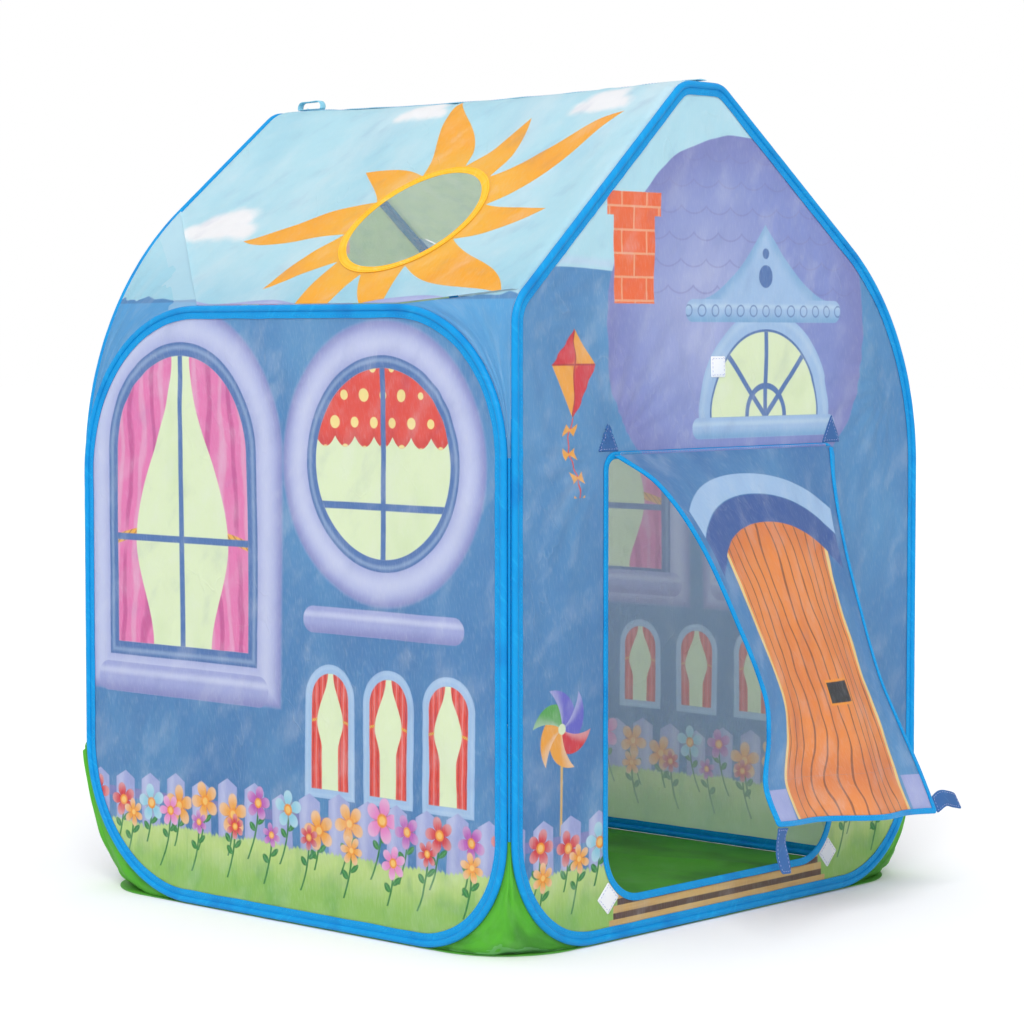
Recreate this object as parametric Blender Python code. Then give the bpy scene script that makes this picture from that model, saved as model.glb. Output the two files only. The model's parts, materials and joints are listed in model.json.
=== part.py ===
"""Pop-up play tent for children, held up by four spring-wire hoops that lie in tape bindings.

Metres, +Z up. The origin is on the ground in the middle of the hoops' footprint. The gable with the door
faces -Y and the wall below the roof with the skylight faces -X.
"""

import math

import bmesh
import bpy
from mathutils import Vector

# Overall size of the four hoops
TENT_WIDTH = 0.760
TENT_DEPTH = 0.710
RIDGE_HEIGHT = 0.958
LEFT_EAVE_HEIGHT = 0.7065
RIGHT_EAVE_HEIGHT = 0.680
PEAK_FLAT = 0.071
PEAK_OFFSET = -0.0535
REAR_PEAK_SHIFT = 0.034

# Corner radii of the gable hoops
FRONT_LEFT_FOOT_RADIUS = 0.130
FRONT_RIGHT_FOOT_RADIUS = 0.150
FRONT_LEFT_SHOULDER_RADIUS = 0.050
FRONT_RIGHT_SHOULDER_RADIUS = 0.330
REAR_FOOT_RADIUS = 0.150
REAR_SHOULDER_RADIUS = 0.420
PEAK_RADIUS = 0.040

# Corner radii of the wall hoops
WALL_FRONT_FOOT_RADIUS = 0.130
WALL_REAR_FOOT_RADIUS = 0.180
WALL_FRONT_TOP_RADIUS = 0.165
WALL_REAR_TOP_RADIUS = 0.200

# Tape binding round each hoop, and the wire and its joining sleeve inside
TUBE_RADIUS = 0.0041
TAPE_WALL = 0.0007
TAPE_FACE = 0.020
WIRE_RADIUS = 0.0019
WIRE_END_GAP = 0.002
FERRULE_LENGTH = 0.040
FERRULE_RADIUS = 0.00275
FERRULE_PLAY = 0.0003

# Fabric
FABRIC = 0.001
FABRIC_GAP = 0.0003
SEAM_GAP = 0.0008
ROOF_LIFT = 0.0006
ROOF_DROP_EDGE = 0.0013
FLOOR_CORNER_RADIUS = 0.100

# Fold of the hoops about the four upright corners
FOLD_CLEARANCE = 0.0002
CORNER_SEAM_RADIUS = 0.0012
CORNER_SEAM_END_GAP = 0.006

# Door opening, its tape and what is sewn round it
DOOR_WIDTH = 0.410
DOOR_CENTRE = -0.0105
DOOR_SILL_HEIGHT = 0.048
DOOR_TOP_HEIGHT = 0.536
DOOR_FOOT_RADIUS = 0.055
DOOR_HEAD_RADIUS = 0.012
DOOR_TAPE_FACE = 0.008
CLOSURE_PATCH_SIZE = 0.026
HOLD_PATCH_SIZE = 0.024
HOLD_PATCH_RISE = 0.100
HOLD_PATCH_OFFSET = -0.012
CORNER_PATCH_WIDTH = 0.036
CORNER_PATCH_HEIGHT = 0.034

# Door flap, hung from the head of the opening
FLAP_WIDTH = 0.402
FLAP_DROP = 0.470
FLAP_OFFSET = 0.003
FLAP_STANDOFF = 0.0039
FLAP_TAPE_FACE = 0.008
FLAP_TAPE_GAP = 0.0008
FLAP_FOLD_DEPTH = 0.014
FLAP_SEAM_HEIGHT = 0.006
FLAP_SEAM_INSET = 0.012
TAB_LENGTH = 0.050
TAB_WIDTH = 0.021
TAB_FABRIC = 0.0012

# Skylight, ridge tape and hanging loop
SKYLIGHT_RADIUS = 0.092
SKYLIGHT_ALONG = -0.095
SKYLIGHT_UP = 0.150
SKYLIGHT_TAPE_FACE = 0.010
SKYLIGHT_RIM_LIFT = 0.0006
RIDGE_TAPE_WIDTH = 0.016
RIDGE_SLIT = 0.0006
LOOP_LENGTH = 0.044
LOOP_HEIGHT = 0.012
LOOP_STRIP = 0.0015
LOOP_WIDTH = 0.010
LOOP_INSET = 0.010

# How finely round stretches are cut
CORNER_STEPS = 9
PEAK_STEPS = 4
LEAD_STEPS = 4
TUBE_STEPS = 8
WIRE_SIDES = 6
FERRULE_SIDES = 8
SKYLIGHT_SIDES = 36
GUSSET_COLUMNS = 4
FLAP_ROWS = 14
FLAP_COLUMNS = 12
FLAP_WAVES = 1.5
FLAP_WAVE_PHASE = 2.2
CORNER_ROOM_SHARE = 0.48
FOOT_GUSSET_REACH_SHARE = 0.90
FOOT_GUSSET_BULGE_SHARE = 0.25
FLAP_MITER_SHARE = 0.7
SHARP_ANGLE = math.radians(40)

# Door flap edges from the hinge down: station, then the edge's way sideways as a share of the width,
# and its way outward and downward as shares of the drop
FLAP_LEFT_SHARES = (
    (0.00, 0.000, 0.000, 0.000),
    (0.10, 0.080, 0.070, 0.068),
    (0.24, 0.158, 0.140, 0.200),
    (0.42, 0.240, 0.198, 0.390),
    (0.60, 0.312, 0.236, 0.570),
    (0.72, 0.280, 0.268, 0.665),
    (0.86, 0.195, 0.315, 0.765),
    (1.00, 0.202, 0.352, 0.858),
)
FLAP_RIGHT_SHARES = (
    (0.00, 0.000, 0.000, 0.000),
    (0.10, -0.028, 0.027, 0.090),
    (0.24, -0.040, 0.062, 0.225),
    (0.42, -0.026, 0.106, 0.400),
    (0.60, 0.004, 0.150, 0.575),
    (0.72, 0.050, 0.180, 0.690),
    (0.86, 0.100, 0.217, 0.815),
    (1.00, 0.135, 0.250, 0.930),
)
LEFT_TAB_SHARES = ((0.0, 0.0), (0.30, -0.06), (0.62, -0.02), (1.0, 0.10))
RIGHT_TAB_SHARES = ((0.0, 0.0), (0.34, 0.12), (0.68, 0.06), (1.0, -0.02))

# Worked out from the sizes above
TAPE_THICKNESS = 2 * TUBE_RADIUS
CORNER_INSET = TAPE_THICKNESS + 2 * FOLD_CLEARANCE
HINGE_INSET = TAPE_THICKNESS + FOLD_CLEARANCE
GABLE_HALF = TENT_WIDTH / 2 - CORNER_INSET
WALL_HALF = TENT_DEPTH / 2 - CORNER_INSET
GABLE_PLANE = TENT_DEPTH / 2 - TUBE_RADIUS
WALL_PLANE = TENT_WIDTH / 2 - TUBE_RADIUS
HINGE_X = TENT_WIDTH / 2 - HINGE_INSET
HINGE_Y = TENT_DEPTH / 2 - HINGE_INSET
BASE = FABRIC + FABRIC_GAP
SLOT_HALF = FABRIC / 2 + FABRIC_GAP
LEG_HALF = SLOT_HALF + TAPE_WALL
CAVITY_RADIUS = TUBE_RADIUS - TAPE_WALL
PANEL_INSET = TUBE_RADIUS + math.sqrt(CAVITY_RADIUS ** 2 - SLOT_HALF ** 2) + FABRIC_GAP
FRONT_FACE = -GABLE_PLANE - FABRIC / 2
FLAP_PLANE = -GABLE_PLANE - FLAP_STANDOFF
FLAP_HEIGHT = DOOR_TOP_HEIGHT + DOOR_TAPE_FACE / 2
RIDGE_SHEET_TOP = RIDGE_HEIGHT + ROOF_LIFT + ROOF_DROP_EDGE

# Colours of the pieces, linear
AZURE = (0.010, 0.260, 0.690)
WALL_BLUE = (0.110, 0.270, 0.500)
SKY_AQUA = (0.520, 0.770, 0.870)
GRASS_GREEN = (0.110, 0.490, 0.050)
DEEP_BLUE = (0.050, 0.150, 0.380)
SUN_YELLOW = (1.000, 0.600, 0.040)
NET_GREEN = (0.560, 0.720, 0.540)
PATCH_WHITE = (0.850, 0.860, 0.880)
STEEL = (0.560, 0.570, 0.580)
DOOR_ORANGE = (0.850, 0.330, 0.110)


class Body:
    """A group of pieces that moves as one, held by an empty on its joint's axis."""

    def __init__(self, name, pivot, parent=None):
        self.pivot = Vector(pivot)
        self.empty = bpy.data.objects.new(name + "_pivot", None)
        self.empty.location = self.pivot - (parent.pivot if parent else Vector())
        self.empty.parent = parent.empty if parent else None
        bpy.context.scene.collection.objects.link(self.empty)


def clear_scene():
    """Remove every object that the file opened with."""
    for item in list(bpy.data.objects):
        bpy.data.objects.remove(item, do_unlink=True)


def make_material(name, colour, roughness, metallic=0.0):
    """A plain shaded material with one colour."""
    material = bpy.data.materials.new(name)
    material.use_nodes = True
    shader = material.node_tree.nodes["Principled BSDF"]
    shader.inputs["Base Color"].default_value = (*colour, 1.0)
    shader.inputs["Roughness"].default_value = roughness
    shader.inputs["Metallic"].default_value = metallic
    material.diffuse_color = (*colour, 1.0)
    return material


def add_piece(name, body, points, faces, colour, roughness=0.75, metallic=0.0, smooth=True):
    """One named closed piece from world points, placed about its body's pivot, with a material of its own."""
    mesh = bpy.data.meshes.new(name)
    mesh.from_pydata([Vector(point) - body.pivot for point in points], [], faces)
    work = bmesh.new()
    work.from_mesh(mesh)
    bmesh.ops.recalc_face_normals(work, faces=work.faces)
    work.to_mesh(mesh)
    work.free()
    if smooth:
        mesh.shade_smooth()
        mesh.set_sharp_from_angle(angle=SHARP_ANGLE)
    mesh.materials.append(make_material(name, colour, roughness, metallic))
    piece = bpy.data.objects.new(name, mesh)
    piece.parent = body.empty
    bpy.context.scene.collection.objects.link(piece)
    return piece


def corner_arc(corners, index):
    """Start, centre, turn and end of the arc that rounds one corner of an anticlockwise outline."""
    here = Vector(corners[index][:2])
    before = Vector(corners[index - 1][:2]) - here
    after = Vector(corners[(index + 1) % len(corners)][:2]) - here
    turn = math.pi - before.angle(after)
    tangent = corners[index][2] * math.tan(turn / 2)
    tangent = min(tangent, CORNER_ROOM_SHARE * min(before.length, after.length))
    reach = tangent / math.tan(turn / 2) / math.cos(turn / 2)
    centre = here + (before.normalized() + after.normalized()).normalized() * reach
    return here + before.normalized() * tangent, centre, turn, here + after.normalized() * tangent


def turned(vector, angle):
    """A flat vector turned anticlockwise."""
    cosine = math.cos(angle)
    sine = math.sin(angle)
    return Vector((vector.x * cosine - vector.y * sine, vector.x * sine + vector.y * cosine))


def rounded_outline(corners):
    """Points of an anticlockwise outline whose corners are given as place, height, radius and steps."""
    points = []
    for index, corner in enumerate(corners):
        start, centre, turn, _ = corner_arc(corners, index)
        steps = corner[3]
        for step in range(steps + 1):
            points.append(centre + turned(start - centre, turn * step / steps))
    return points


def inward_miters(points):
    """For each point of an anticlockwise outline, the vector that moves both of its edges in by one metre."""
    miters = []
    for index, point in enumerate(points):
        before = (point - points[index - 1]).normalized()
        after = (points[(index + 1) % len(points)] - point).normalized()
        normal_before = Vector((-before.y, before.x))
        normal_after = Vector((-after.y, after.x))
        middle = (normal_before + normal_after).normalized()
        miters.append(middle / middle.dot(normal_after))
    return miters


def offset_outline(points, distance):
    """An anticlockwise outline moved in by a distance, or out where it is negative."""
    return [point + miter * distance for point, miter in zip(points, inward_miters(points))]


def gable_place(plane):
    """Maps outline coordinates and a depth to a point in a gable's plane."""
    return lambda flat, depth: Vector((flat.x, plane + depth, flat.y))


def wall_place(plane):
    """Maps outline coordinates and a depth to a point in a wall's plane."""
    return lambda flat, depth: Vector((plane + depth, flat.x, flat.y))


def level_place(level):
    """Maps outline coordinates and a depth to a point in a level plane."""
    return lambda flat, depth: Vector((flat.x, flat.y, level + depth))


def skin_rings(rings, closed):
    """Faces that join equal rings one after the other, with end caps where the run is open."""
    count = len(rings[0])
    points = [point for ring in rings for point in ring]
    faces = []
    spans = len(rings) if closed else len(rings) - 1
    for span in range(spans):
        here = span * count
        there = (span + 1) % len(rings) * count
        for side in range(count):
            following = (side + 1) % count
            faces.append((here + side, here + following, there + following, there + side))
    if not closed:
        faces.append(tuple(range(count)))
        faces.append(tuple(range((len(rings) - 1) * count, len(rings) * count)))
    return points, faces


def tube_tape_profile():
    """Section of a hoop's tape, as distance in from its outer edge and depth: a tube with two legs."""
    outer_start = math.asin(LEG_HALF / TUBE_RADIUS)
    inner_start = math.asin(SLOT_HALF / CAVITY_RADIUS)
    profile = [(TAPE_FACE, LEG_HALF)]
    for step in range(TUBE_STEPS + 1):
        angle = outer_start + (2 * math.pi - 2 * outer_start) * step / TUBE_STEPS
        profile.append((TUBE_RADIUS + TUBE_RADIUS * math.cos(angle), TUBE_RADIUS * math.sin(angle)))
    profile.append((TAPE_FACE, -LEG_HALF))
    profile.append((TAPE_FACE, -SLOT_HALF))
    for step in range(TUBE_STEPS, -1, -1):
        angle = inner_start + (2 * math.pi - 2 * inner_start) * step / TUBE_STEPS
        profile.append((TUBE_RADIUS + CAVITY_RADIUS * math.cos(angle), CAVITY_RADIUS * math.sin(angle)))
    profile.append((TAPE_FACE, SLOT_HALF))
    return profile


def edge_tape_profile(face):
    """Section of a flat edge tape folded over one layer of fabric."""
    return [
        (face, LEG_HALF),
        (0.0, LEG_HALF),
        (0.0, -LEG_HALF),
        (face, -LEG_HALF),
        (face, -SLOT_HALF),
        (TAPE_WALL, -SLOT_HALF),
        (TAPE_WALL, SLOT_HALF),
        (face, SLOT_HALF),
    ]


def swept_tape(outline, profile, place, side=1):
    """Points and faces of a tape along a closed outline, inwards for side 1 and outwards for side -1."""
    rings = []
    for point, miter in zip(outline, inward_miters(outline)):
        rings.append([place(point + miter * along * side, depth) for along, depth in profile])
    return skin_rings(rings, True)


def round_section(sides, radius):
    """Points of a regular polygon about zero."""
    return [turned(Vector((radius, 0.0)), 2 * math.pi * side / sides) for side in range(sides)]


def flat_sheet(outline, thickness, place, holes=()):
    """Points and faces of a flat sheet, centred on its plane, from an outline and its holes."""
    work = bmesh.new()
    for loop in (outline, *holes):
        vertices = [work.verts.new((point.x, point.y, 0.0)) for point in loop]
        for index, vertex in enumerate(vertices):
            work.edges.new((vertices[index - 1], vertex))
    bmesh.ops.triangle_fill(work, use_beauty=True, edges=work.edges[:], normal=(0.0, 0.0, 1.0))
    work.verts.index_update()
    flat = [Vector((vertex.co.x, vertex.co.y)) for vertex in work.verts]
    faces = [tuple(vertex.index for vertex in face.verts) for face in work.faces]
    rims = [tuple(vertex.index for vertex in edge.verts) for edge in work.edges if len(edge.link_faces) == 1]
    work.free()
    front = [place(point, -thickness / 2) for point in flat]
    back = [place(point, thickness / 2) for point in flat]
    count = len(flat)
    shifted = [tuple(index + count for index in reversed(face)) for face in faces]
    sides = [(first, second, second + count, first + count) for first, second in rims]
    return front + back, faces + shifted + sides


def thick_grid(grid, thickness):
    """Points and faces of a curved sheet, thickened both ways from rows of points."""
    rows = len(grid)
    columns = len(grid[0])
    normals = grid_normals(grid)
    points = []
    for side in (-1, 1):
        for row in range(rows):
            for column in range(columns):
                points.append(grid[row][column] + normals[row][column] * side * thickness / 2)
    layer = rows * columns
    faces = []
    for row in range(rows - 1):
        for column in range(columns - 1):
            first = row * columns + column
            second = first + 1
            third = first + columns + 1
            fourth = first + columns
            faces.extend([(first, second, third), (first, third, fourth)])
            faces.extend([(first + layer, third + layer, second + layer)])
            faces.extend([(first + layer, fourth + layer, third + layer)])
    border = [column for column in range(columns)]
    border += [row * columns + columns - 1 for row in range(1, rows)]
    border += [(rows - 1) * columns + column for column in range(columns - 2, -1, -1)]
    border += [row * columns for row in range(rows - 2, 0, -1)]
    for index, here in enumerate(border):
        before = border[index - 1]
        faces.append((before, here, here + layer, before + layer))
    return points, faces


def grid_normals(grid):
    """Unit normals at the points of a grid of rows."""
    rows = len(grid)
    columns = len(grid[0])
    normals = []
    for row in range(rows):
        line = []
        for column in range(columns):
            down = grid[min(row + 1, rows - 1)][column] - grid[max(row - 1, 0)][column]
            across = grid[row][min(column + 1, columns - 1)] - grid[row][max(column - 1, 0)]
            line.append(down.cross(across).normalized())
        normals.append(line)
    return normals


def smooth_share(table, station):
    """Values of a table of stations at one station, read from a smooth curve through its rows."""
    index = 0
    while index < len(table) - 2 and table[index + 1][0] < station:
        index += 1
    low = table[index]
    high = table[index + 1]
    before = table[max(index - 1, 0)]
    after = table[min(index + 2, len(table) - 1)]
    span = high[0] - low[0]
    share = (station - low[0]) / span
    values = []
    for column in range(1, len(low)):
        slope_low = (high[column] - before[column]) / max(high[0] - before[0], span) * span
        slope_high = (after[column] - low[column]) / max(after[0] - low[0], span) * span
        values.append(
            (2 * share ** 3 - 3 * share ** 2 + 1) * low[column]
            + (share ** 3 - 2 * share ** 2 + share) * slope_low
            + (3 * share ** 2 - 2 * share ** 3) * high[column]
            + (share ** 3 - share ** 2) * slope_high
        )
    return values


def gable_corners(foot_left, foot_right, shoulder_left, shoulder_right, peak_centre):
    """Corners of a gable hoop, anticlockwise from its left foot."""
    return [
        (-GABLE_HALF, BASE, foot_left, CORNER_STEPS),
        (GABLE_HALF, BASE, foot_right, CORNER_STEPS),
        (GABLE_HALF, RIGHT_EAVE_HEIGHT, shoulder_right, CORNER_STEPS),
        (peak_centre + PEAK_FLAT / 2, RIDGE_HEIGHT, PEAK_RADIUS, PEAK_STEPS),
        (peak_centre - PEAK_FLAT / 2, RIDGE_HEIGHT, PEAK_RADIUS, PEAK_STEPS),
        (-GABLE_HALF, LEFT_EAVE_HEIGHT, shoulder_left, CORNER_STEPS),
    ]


def wall_corners(eave_height):
    """Corners of a wall hoop, anticlockwise from its front foot."""
    return [
        (-WALL_HALF, BASE, WALL_FRONT_FOOT_RADIUS, CORNER_STEPS),
        (WALL_HALF, BASE, WALL_REAR_FOOT_RADIUS, CORNER_STEPS),
        (WALL_HALF, eave_height, WALL_REAR_TOP_RADIUS, CORNER_STEPS),
        (-WALL_HALF, eave_height, WALL_FRONT_TOP_RADIUS, CORNER_STEPS),
    ]


FRONT_CORNERS = gable_corners(
    FRONT_LEFT_FOOT_RADIUS,
    FRONT_RIGHT_FOOT_RADIUS,
    FRONT_LEFT_SHOULDER_RADIUS,
    FRONT_RIGHT_SHOULDER_RADIUS,
    PEAK_OFFSET,
)
REAR_CORNERS = gable_corners(
    REAR_FOOT_RADIUS,
    REAR_FOOT_RADIUS,
    REAR_SHOULDER_RADIUS,
    REAR_SHOULDER_RADIUS,
    PEAK_OFFSET + REAR_PEAK_SHIFT,
)
LEFT_CORNERS = wall_corners(LEFT_EAVE_HEIGHT)
RIGHT_CORNERS = wall_corners(RIGHT_EAVE_HEIGHT)


def door_corners():
    """Corners of the door opening's visible edge, anticlockwise from its left foot."""
    left = DOOR_CENTRE - DOOR_WIDTH / 2
    right = DOOR_CENTRE + DOOR_WIDTH / 2
    return [
        (left, DOOR_SILL_HEIGHT, DOOR_FOOT_RADIUS, CORNER_STEPS),
        (right, DOOR_SILL_HEIGHT, DOOR_FOOT_RADIUS, CORNER_STEPS),
        (right, DOOR_TOP_HEIGHT, DOOR_HEAD_RADIUS, PEAK_STEPS),
        (left, DOOR_TOP_HEIGHT, DOOR_HEAD_RADIUS, PEAK_STEPS),
    ]


def add_hoop(prefix, body, corners, place, colour, holes=()):
    """One hoop: wire, joining sleeve, tape binding and the fabric panel held in the binding."""
    outline = rounded_outline(corners)
    tape = swept_tape(outline, tube_tape_profile(), place)
    add_piece(prefix + "_binding", body, *tape, AZURE, roughness=0.45)
    panel = flat_sheet(offset_outline(outline, PANEL_INSET), FABRIC, place, holes)
    add_piece(prefix + "_panel", body, *panel, colour, smooth=False)
    add_wire(prefix, body, offset_outline(outline, TUBE_RADIUS), corners[0][3] + 1, place)
    add_ferrule(prefix, body, (corners[0][0] + corners[1][0]) / 2, place)


def add_wire(prefix, body, centre_line, first_corner_count, place):
    """The hoop's wire, open at the middle of its lowest run."""
    middle = (centre_line[first_corner_count - 1] + centre_line[first_corner_count]) / 2
    gap = Vector((WIRE_END_GAP / 2, 0.0))
    run = [middle + gap, *centre_line[first_corner_count:], *centre_line[:first_corner_count], middle - gap]
    section = round_section(WIRE_SIDES, WIRE_RADIUS)
    rings = []
    for index, point in enumerate(run):
        before = (point - run[index - 1]).normalized() if index else Vector((1.0, 0.0))
        after = (run[index + 1] - point).normalized() if index < len(run) - 1 else before
        along = (before + after).normalized()
        normal = Vector((-along.y, along.x)) / along.dot(after)
        rings.append([place(point + normal * spot.x, spot.y) for spot in section])
    add_piece(prefix + "_wire", body, *skin_rings(rings, False), STEEL, roughness=0.35, metallic=0.9)


def add_ferrule(prefix, body, middle, place):
    """The sleeve that joins the wire's two ends."""
    bore_radius = (WIRE_RADIUS + FERRULE_PLAY) / math.cos(math.pi / FERRULE_SIDES)
    outer = round_section(FERRULE_SIDES, FERRULE_RADIUS)
    inner = round_section(FERRULE_SIDES, bore_radius)
    rings = []
    for section, end in ((outer, -1), (outer, 1), (inner, 1), (inner, -1)):
        spot = Vector((middle + end * FERRULE_LENGTH / 2, BASE + TUBE_RADIUS))
        rings.append([place(spot + Vector((0.0, point.x)), point.y) for point in section])
    add_piece(prefix + "_ferrule", body, *skin_rings(rings, True), STEEL, roughness=0.3, metallic=0.9)


def corner_curve(corners, index, lead=0.0, reach_share=1.0, reverse=False):
    """Points along a corner's arc, with a straight lead before it, moved out by the seam gap.

    With reverse, the curve runs clockwise, so that its lead lies after the arc.
    """
    start, centre, turn, end = corner_arc(corners, index)
    radius = (start - centre).length
    first = end - centre if reverse else start - centre
    way = -1 if reverse else 1
    along = turned(first.normalized(), way * math.pi / 2)
    lead_steps = LEAD_STEPS if lead > radius * turn else 0
    points = []
    for step in range(lead_steps):
        spot = centre + first - along * lead * (lead_steps - step) / lead_steps
        points.append(spot + first.normalized() * SEAM_GAP)
    arc_steps = CORNER_STEPS - lead_steps
    for step in range(arc_steps + 1):
        outward = turned(first.normalized(), way * turn * reach_share * step / arc_steps)
        points.append(centre + outward * (radius + SEAM_GAP))
    return points


def ruled_grid(first_curve, second_curve, bulge_share=0.0, outward=Vector()):
    """Rows of points between two curves, whose middle is pushed out by a share of the curves' distance."""
    grid = []
    for first, second in zip(first_curve, second_curve):
        bulge = bulge_share * (second - first).length
        row = []
        for column in range(GUSSET_COLUMNS + 1):
            share = column / GUSSET_COLUMNS
            row.append(first.lerp(second, share) + outward * bulge * math.sin(math.pi * share))
        grid.append(row)
    return grid


def add_foot_gusset(name, body, wall, wall_side, wall_corner, gable, gable_side, gable_corner):
    """Baggy corner of the floor between the lower corners of a wall hoop and a gable hoop."""
    on_wall = wall_place(WALL_PLANE * wall_side)
    on_gable = gable_place(GABLE_PLANE * gable_side)
    wall_curve = corner_curve(wall, wall_corner, 0.0, FOOT_GUSSET_REACH_SHARE, wall_corner == 1)
    gable_curve = corner_curve(gable, gable_corner, 0.0, FOOT_GUSSET_REACH_SHARE, gable_corner == 1)
    outward = Vector((wall_side, gable_side, 0.0)).normalized()
    grid = ruled_grid(
        [on_wall(point, 0.0) for point in wall_curve],
        [on_gable(point, 0.0) for point in gable_curve],
        FOOT_GUSSET_BULGE_SHARE,
        outward,
    )
    add_piece(name, body, *thick_grid(grid, FABRIC), GRASS_GREEN)


def add_eave_gusset(name, body, wall, wall_side, wall_corner, gable, gable_side, gable_corner):
    """Fabric between the upper corner of a wall hoop and the shoulder of a gable hoop."""
    on_wall = wall_place(WALL_PLANE * wall_side)
    on_gable = gable_place(GABLE_PLANE * gable_side)
    wall_reverse = wall_corner == 3
    gable_reverse = gable_corner == 5
    wall_curve = corner_curve(wall, wall_corner, 0.0, 1.0, wall_reverse)
    wall_low = wall_curve[0].y
    shoulder = corner_arc(gable, gable_corner)
    shoulder_low = shoulder[3].y if gable_reverse else shoulder[0].y
    lead = max(shoulder_low - wall_low, 0.0)
    gable_curve = corner_curve(gable, gable_corner, lead, 1.0, gable_reverse)
    grid = ruled_grid(
        [on_wall(point, 0.0) for point in wall_curve],
        [on_gable(point, 0.0) for point in gable_curve],
    )
    add_piece(name, body, *thick_grid(grid, FABRIC), WALL_BLUE)


class RoofSlope:
    """One slope of the roof: a sheet from its eave to the ridge, resting on both gable hoops."""

    def __init__(self, side, eave_height, gable_corner, knee_corner):
        self.side = side
        self.eave = Vector((side * GABLE_HALF, eave_height))
        self.gable_corner = gable_corner
        self.knees = [Vector(corners[knee_corner][:2]) for corners in (FRONT_CORNERS, REAR_CORNERS)]

    def spot(self, along, up):
        """The point under the sheet at a place along the ridge and a distance up the slope."""
        share = (along + GABLE_PLANE) / (2 * GABLE_PLANE)
        ends = [self.eave + (knee - self.eave).normalized() * up for knee in self.knees]
        flat = ends[0].lerp(ends[1], share)
        return Vector((flat.x, along, flat.y))

    def ridge(self, along):
        """The point under the sheet's edge at the ridge."""
        share = (along + GABLE_PLANE) / (2 * GABLE_PLANE)
        middle = PEAK_OFFSET + REAR_PEAK_SHIFT * share
        return Vector((middle + self.side * RIDGE_SLIT / 2, along, RIDGE_HEIGHT))

    def shoulder_reach(self, corners):
        """How far up the slope a gable hoop's shoulder arc ends."""
        start, _, _, end = corner_arc(corners, self.gable_corner)
        spot = end if self.side > 0 else start
        return (spot - self.eave).length

    def outline(self, wall):
        """Flat outline of the slope part, as places along the ridge and distances up the slope."""
        front_eave = corner_arc(wall, 3)[0].x
        rear_eave = corner_arc(wall, 2)[3].x
        return [
            Vector((front_eave, 0.0)),
            Vector((rear_eave, 0.0)),
            Vector((GABLE_PLANE, self.shoulder_reach(REAR_CORNERS))),
            Vector((GABLE_PLANE, (self.knees[1] - self.eave).length)),
            Vector((-GABLE_PLANE, (self.knees[0] - self.eave).length)),
            Vector((-GABLE_PLANE, self.shoulder_reach(FRONT_CORNERS))),
        ]

    def sheet(self, wall, hole=()):
        """Points and faces of the whole sheet, with the flat strip beside the ridge."""
        outline = self.outline(wall)
        holes = (hole,) if hole else ()
        points, faces = flat_sheet(outline, FABRIC, level_place(0.0), holes)
        placed = []
        knee_low = {}
        for index, point in enumerate(points):
            lift = ROOF_LIFT if point.z < 0 else ROOF_LIFT + ROOF_DROP_EDGE
            placed.append(self.spot(point.x, point.y) + Vector((0.0, 0.0, lift)))
            for end in (3, 4):
                if (Vector((point.x, point.y)) - outline[end]).length < FABRIC_GAP:
                    knee_low[(end, point.z > 0)] = index
        knees = [knee_low[key] for key in ((4, False), (3, False), (3, True), (4, True))]
        faces = [face for face in faces if set(face) != set(knees)]
        start = len(placed)
        for along, lift in (
            (-GABLE_PLANE, ROOF_LIFT),
            (GABLE_PLANE, ROOF_LIFT),
            (GABLE_PLANE, ROOF_LIFT + ROOF_DROP_EDGE),
            (-GABLE_PLANE, ROOF_LIFT + ROOF_DROP_EDGE),
        ):
            placed.append(self.ridge(along) + Vector((0.0, 0.0, lift)))
        for index in range(4):
            following = (index + 1) % 4
            faces.append((knees[index], knees[following], start + following, start + index))
        faces.append((start, start + 1, start + 2, start + 3))
        return placed, faces

    def disc_loop(self, radius, lift):
        """Points of a circle on the slope, lifted straight up from under the sheet."""
        return [self.spot(*flat) + Vector((0.0, 0.0, lift)) for flat in skylight_circle(radius)]


def skylight_circle(radius):
    """Flat points of a circle about the skylight's middle."""
    centre = Vector((SKYLIGHT_ALONG, SKYLIGHT_UP))
    return [centre + spot for spot in round_section(SKYLIGHT_SIDES, radius)]


def stacked_rings(loops, capped):
    """Points and faces of loops joined in order, closed by caps or back to the first loop."""
    return skin_rings(loops, not capped)


def add_skylight(body, slope):
    """The net in the roof's round opening and the ring of tape that holds its edge."""
    low = ROOF_LIFT
    high = ROOF_LIFT + ROOF_DROP_EDGE
    net_radius = SKYLIGHT_RADIUS - FABRIC_GAP * 2
    net = stacked_rings([slope.disc_loop(net_radius, low), slope.disc_loop(net_radius, high)], True)
    add_piece("skylight_net", body, *net, NET_GREEN, smooth=False)
    rim_low = high + SKYLIGHT_RIM_LIFT
    rim_high = rim_low + FABRIC
    inner = SKYLIGHT_RADIUS - SKYLIGHT_TAPE_FACE / 2
    outer = SKYLIGHT_RADIUS + SKYLIGHT_TAPE_FACE / 2
    loops = [
        slope.disc_loop(inner, rim_low),
        slope.disc_loop(outer, rim_low),
        slope.disc_loop(outer, rim_high),
        slope.disc_loop(inner, rim_high),
    ]
    add_piece("skylight_binding", body, *stacked_rings(loops, False), SUN_YELLOW)


def add_ridge_tape(body, slope):
    """The tape along the ridge, which overhangs the other slope's edge."""
    low = RIDGE_SHEET_TOP + FABRIC_GAP
    rings = []
    for along in (-GABLE_PLANE, GABLE_PLANE):
        middle = slope.ridge(along).x
        ring = []
        for side, height in ((-1, low), (1, low), (1, low + FABRIC), (-1, low + FABRIC)):
            ring.append(Vector((middle + side * RIDGE_TAPE_WIDTH / 2, along, height)))
        rings.append(ring)
    add_piece("ridge_tape", body, *skin_rings(rings, False), SKY_AQUA)


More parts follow.
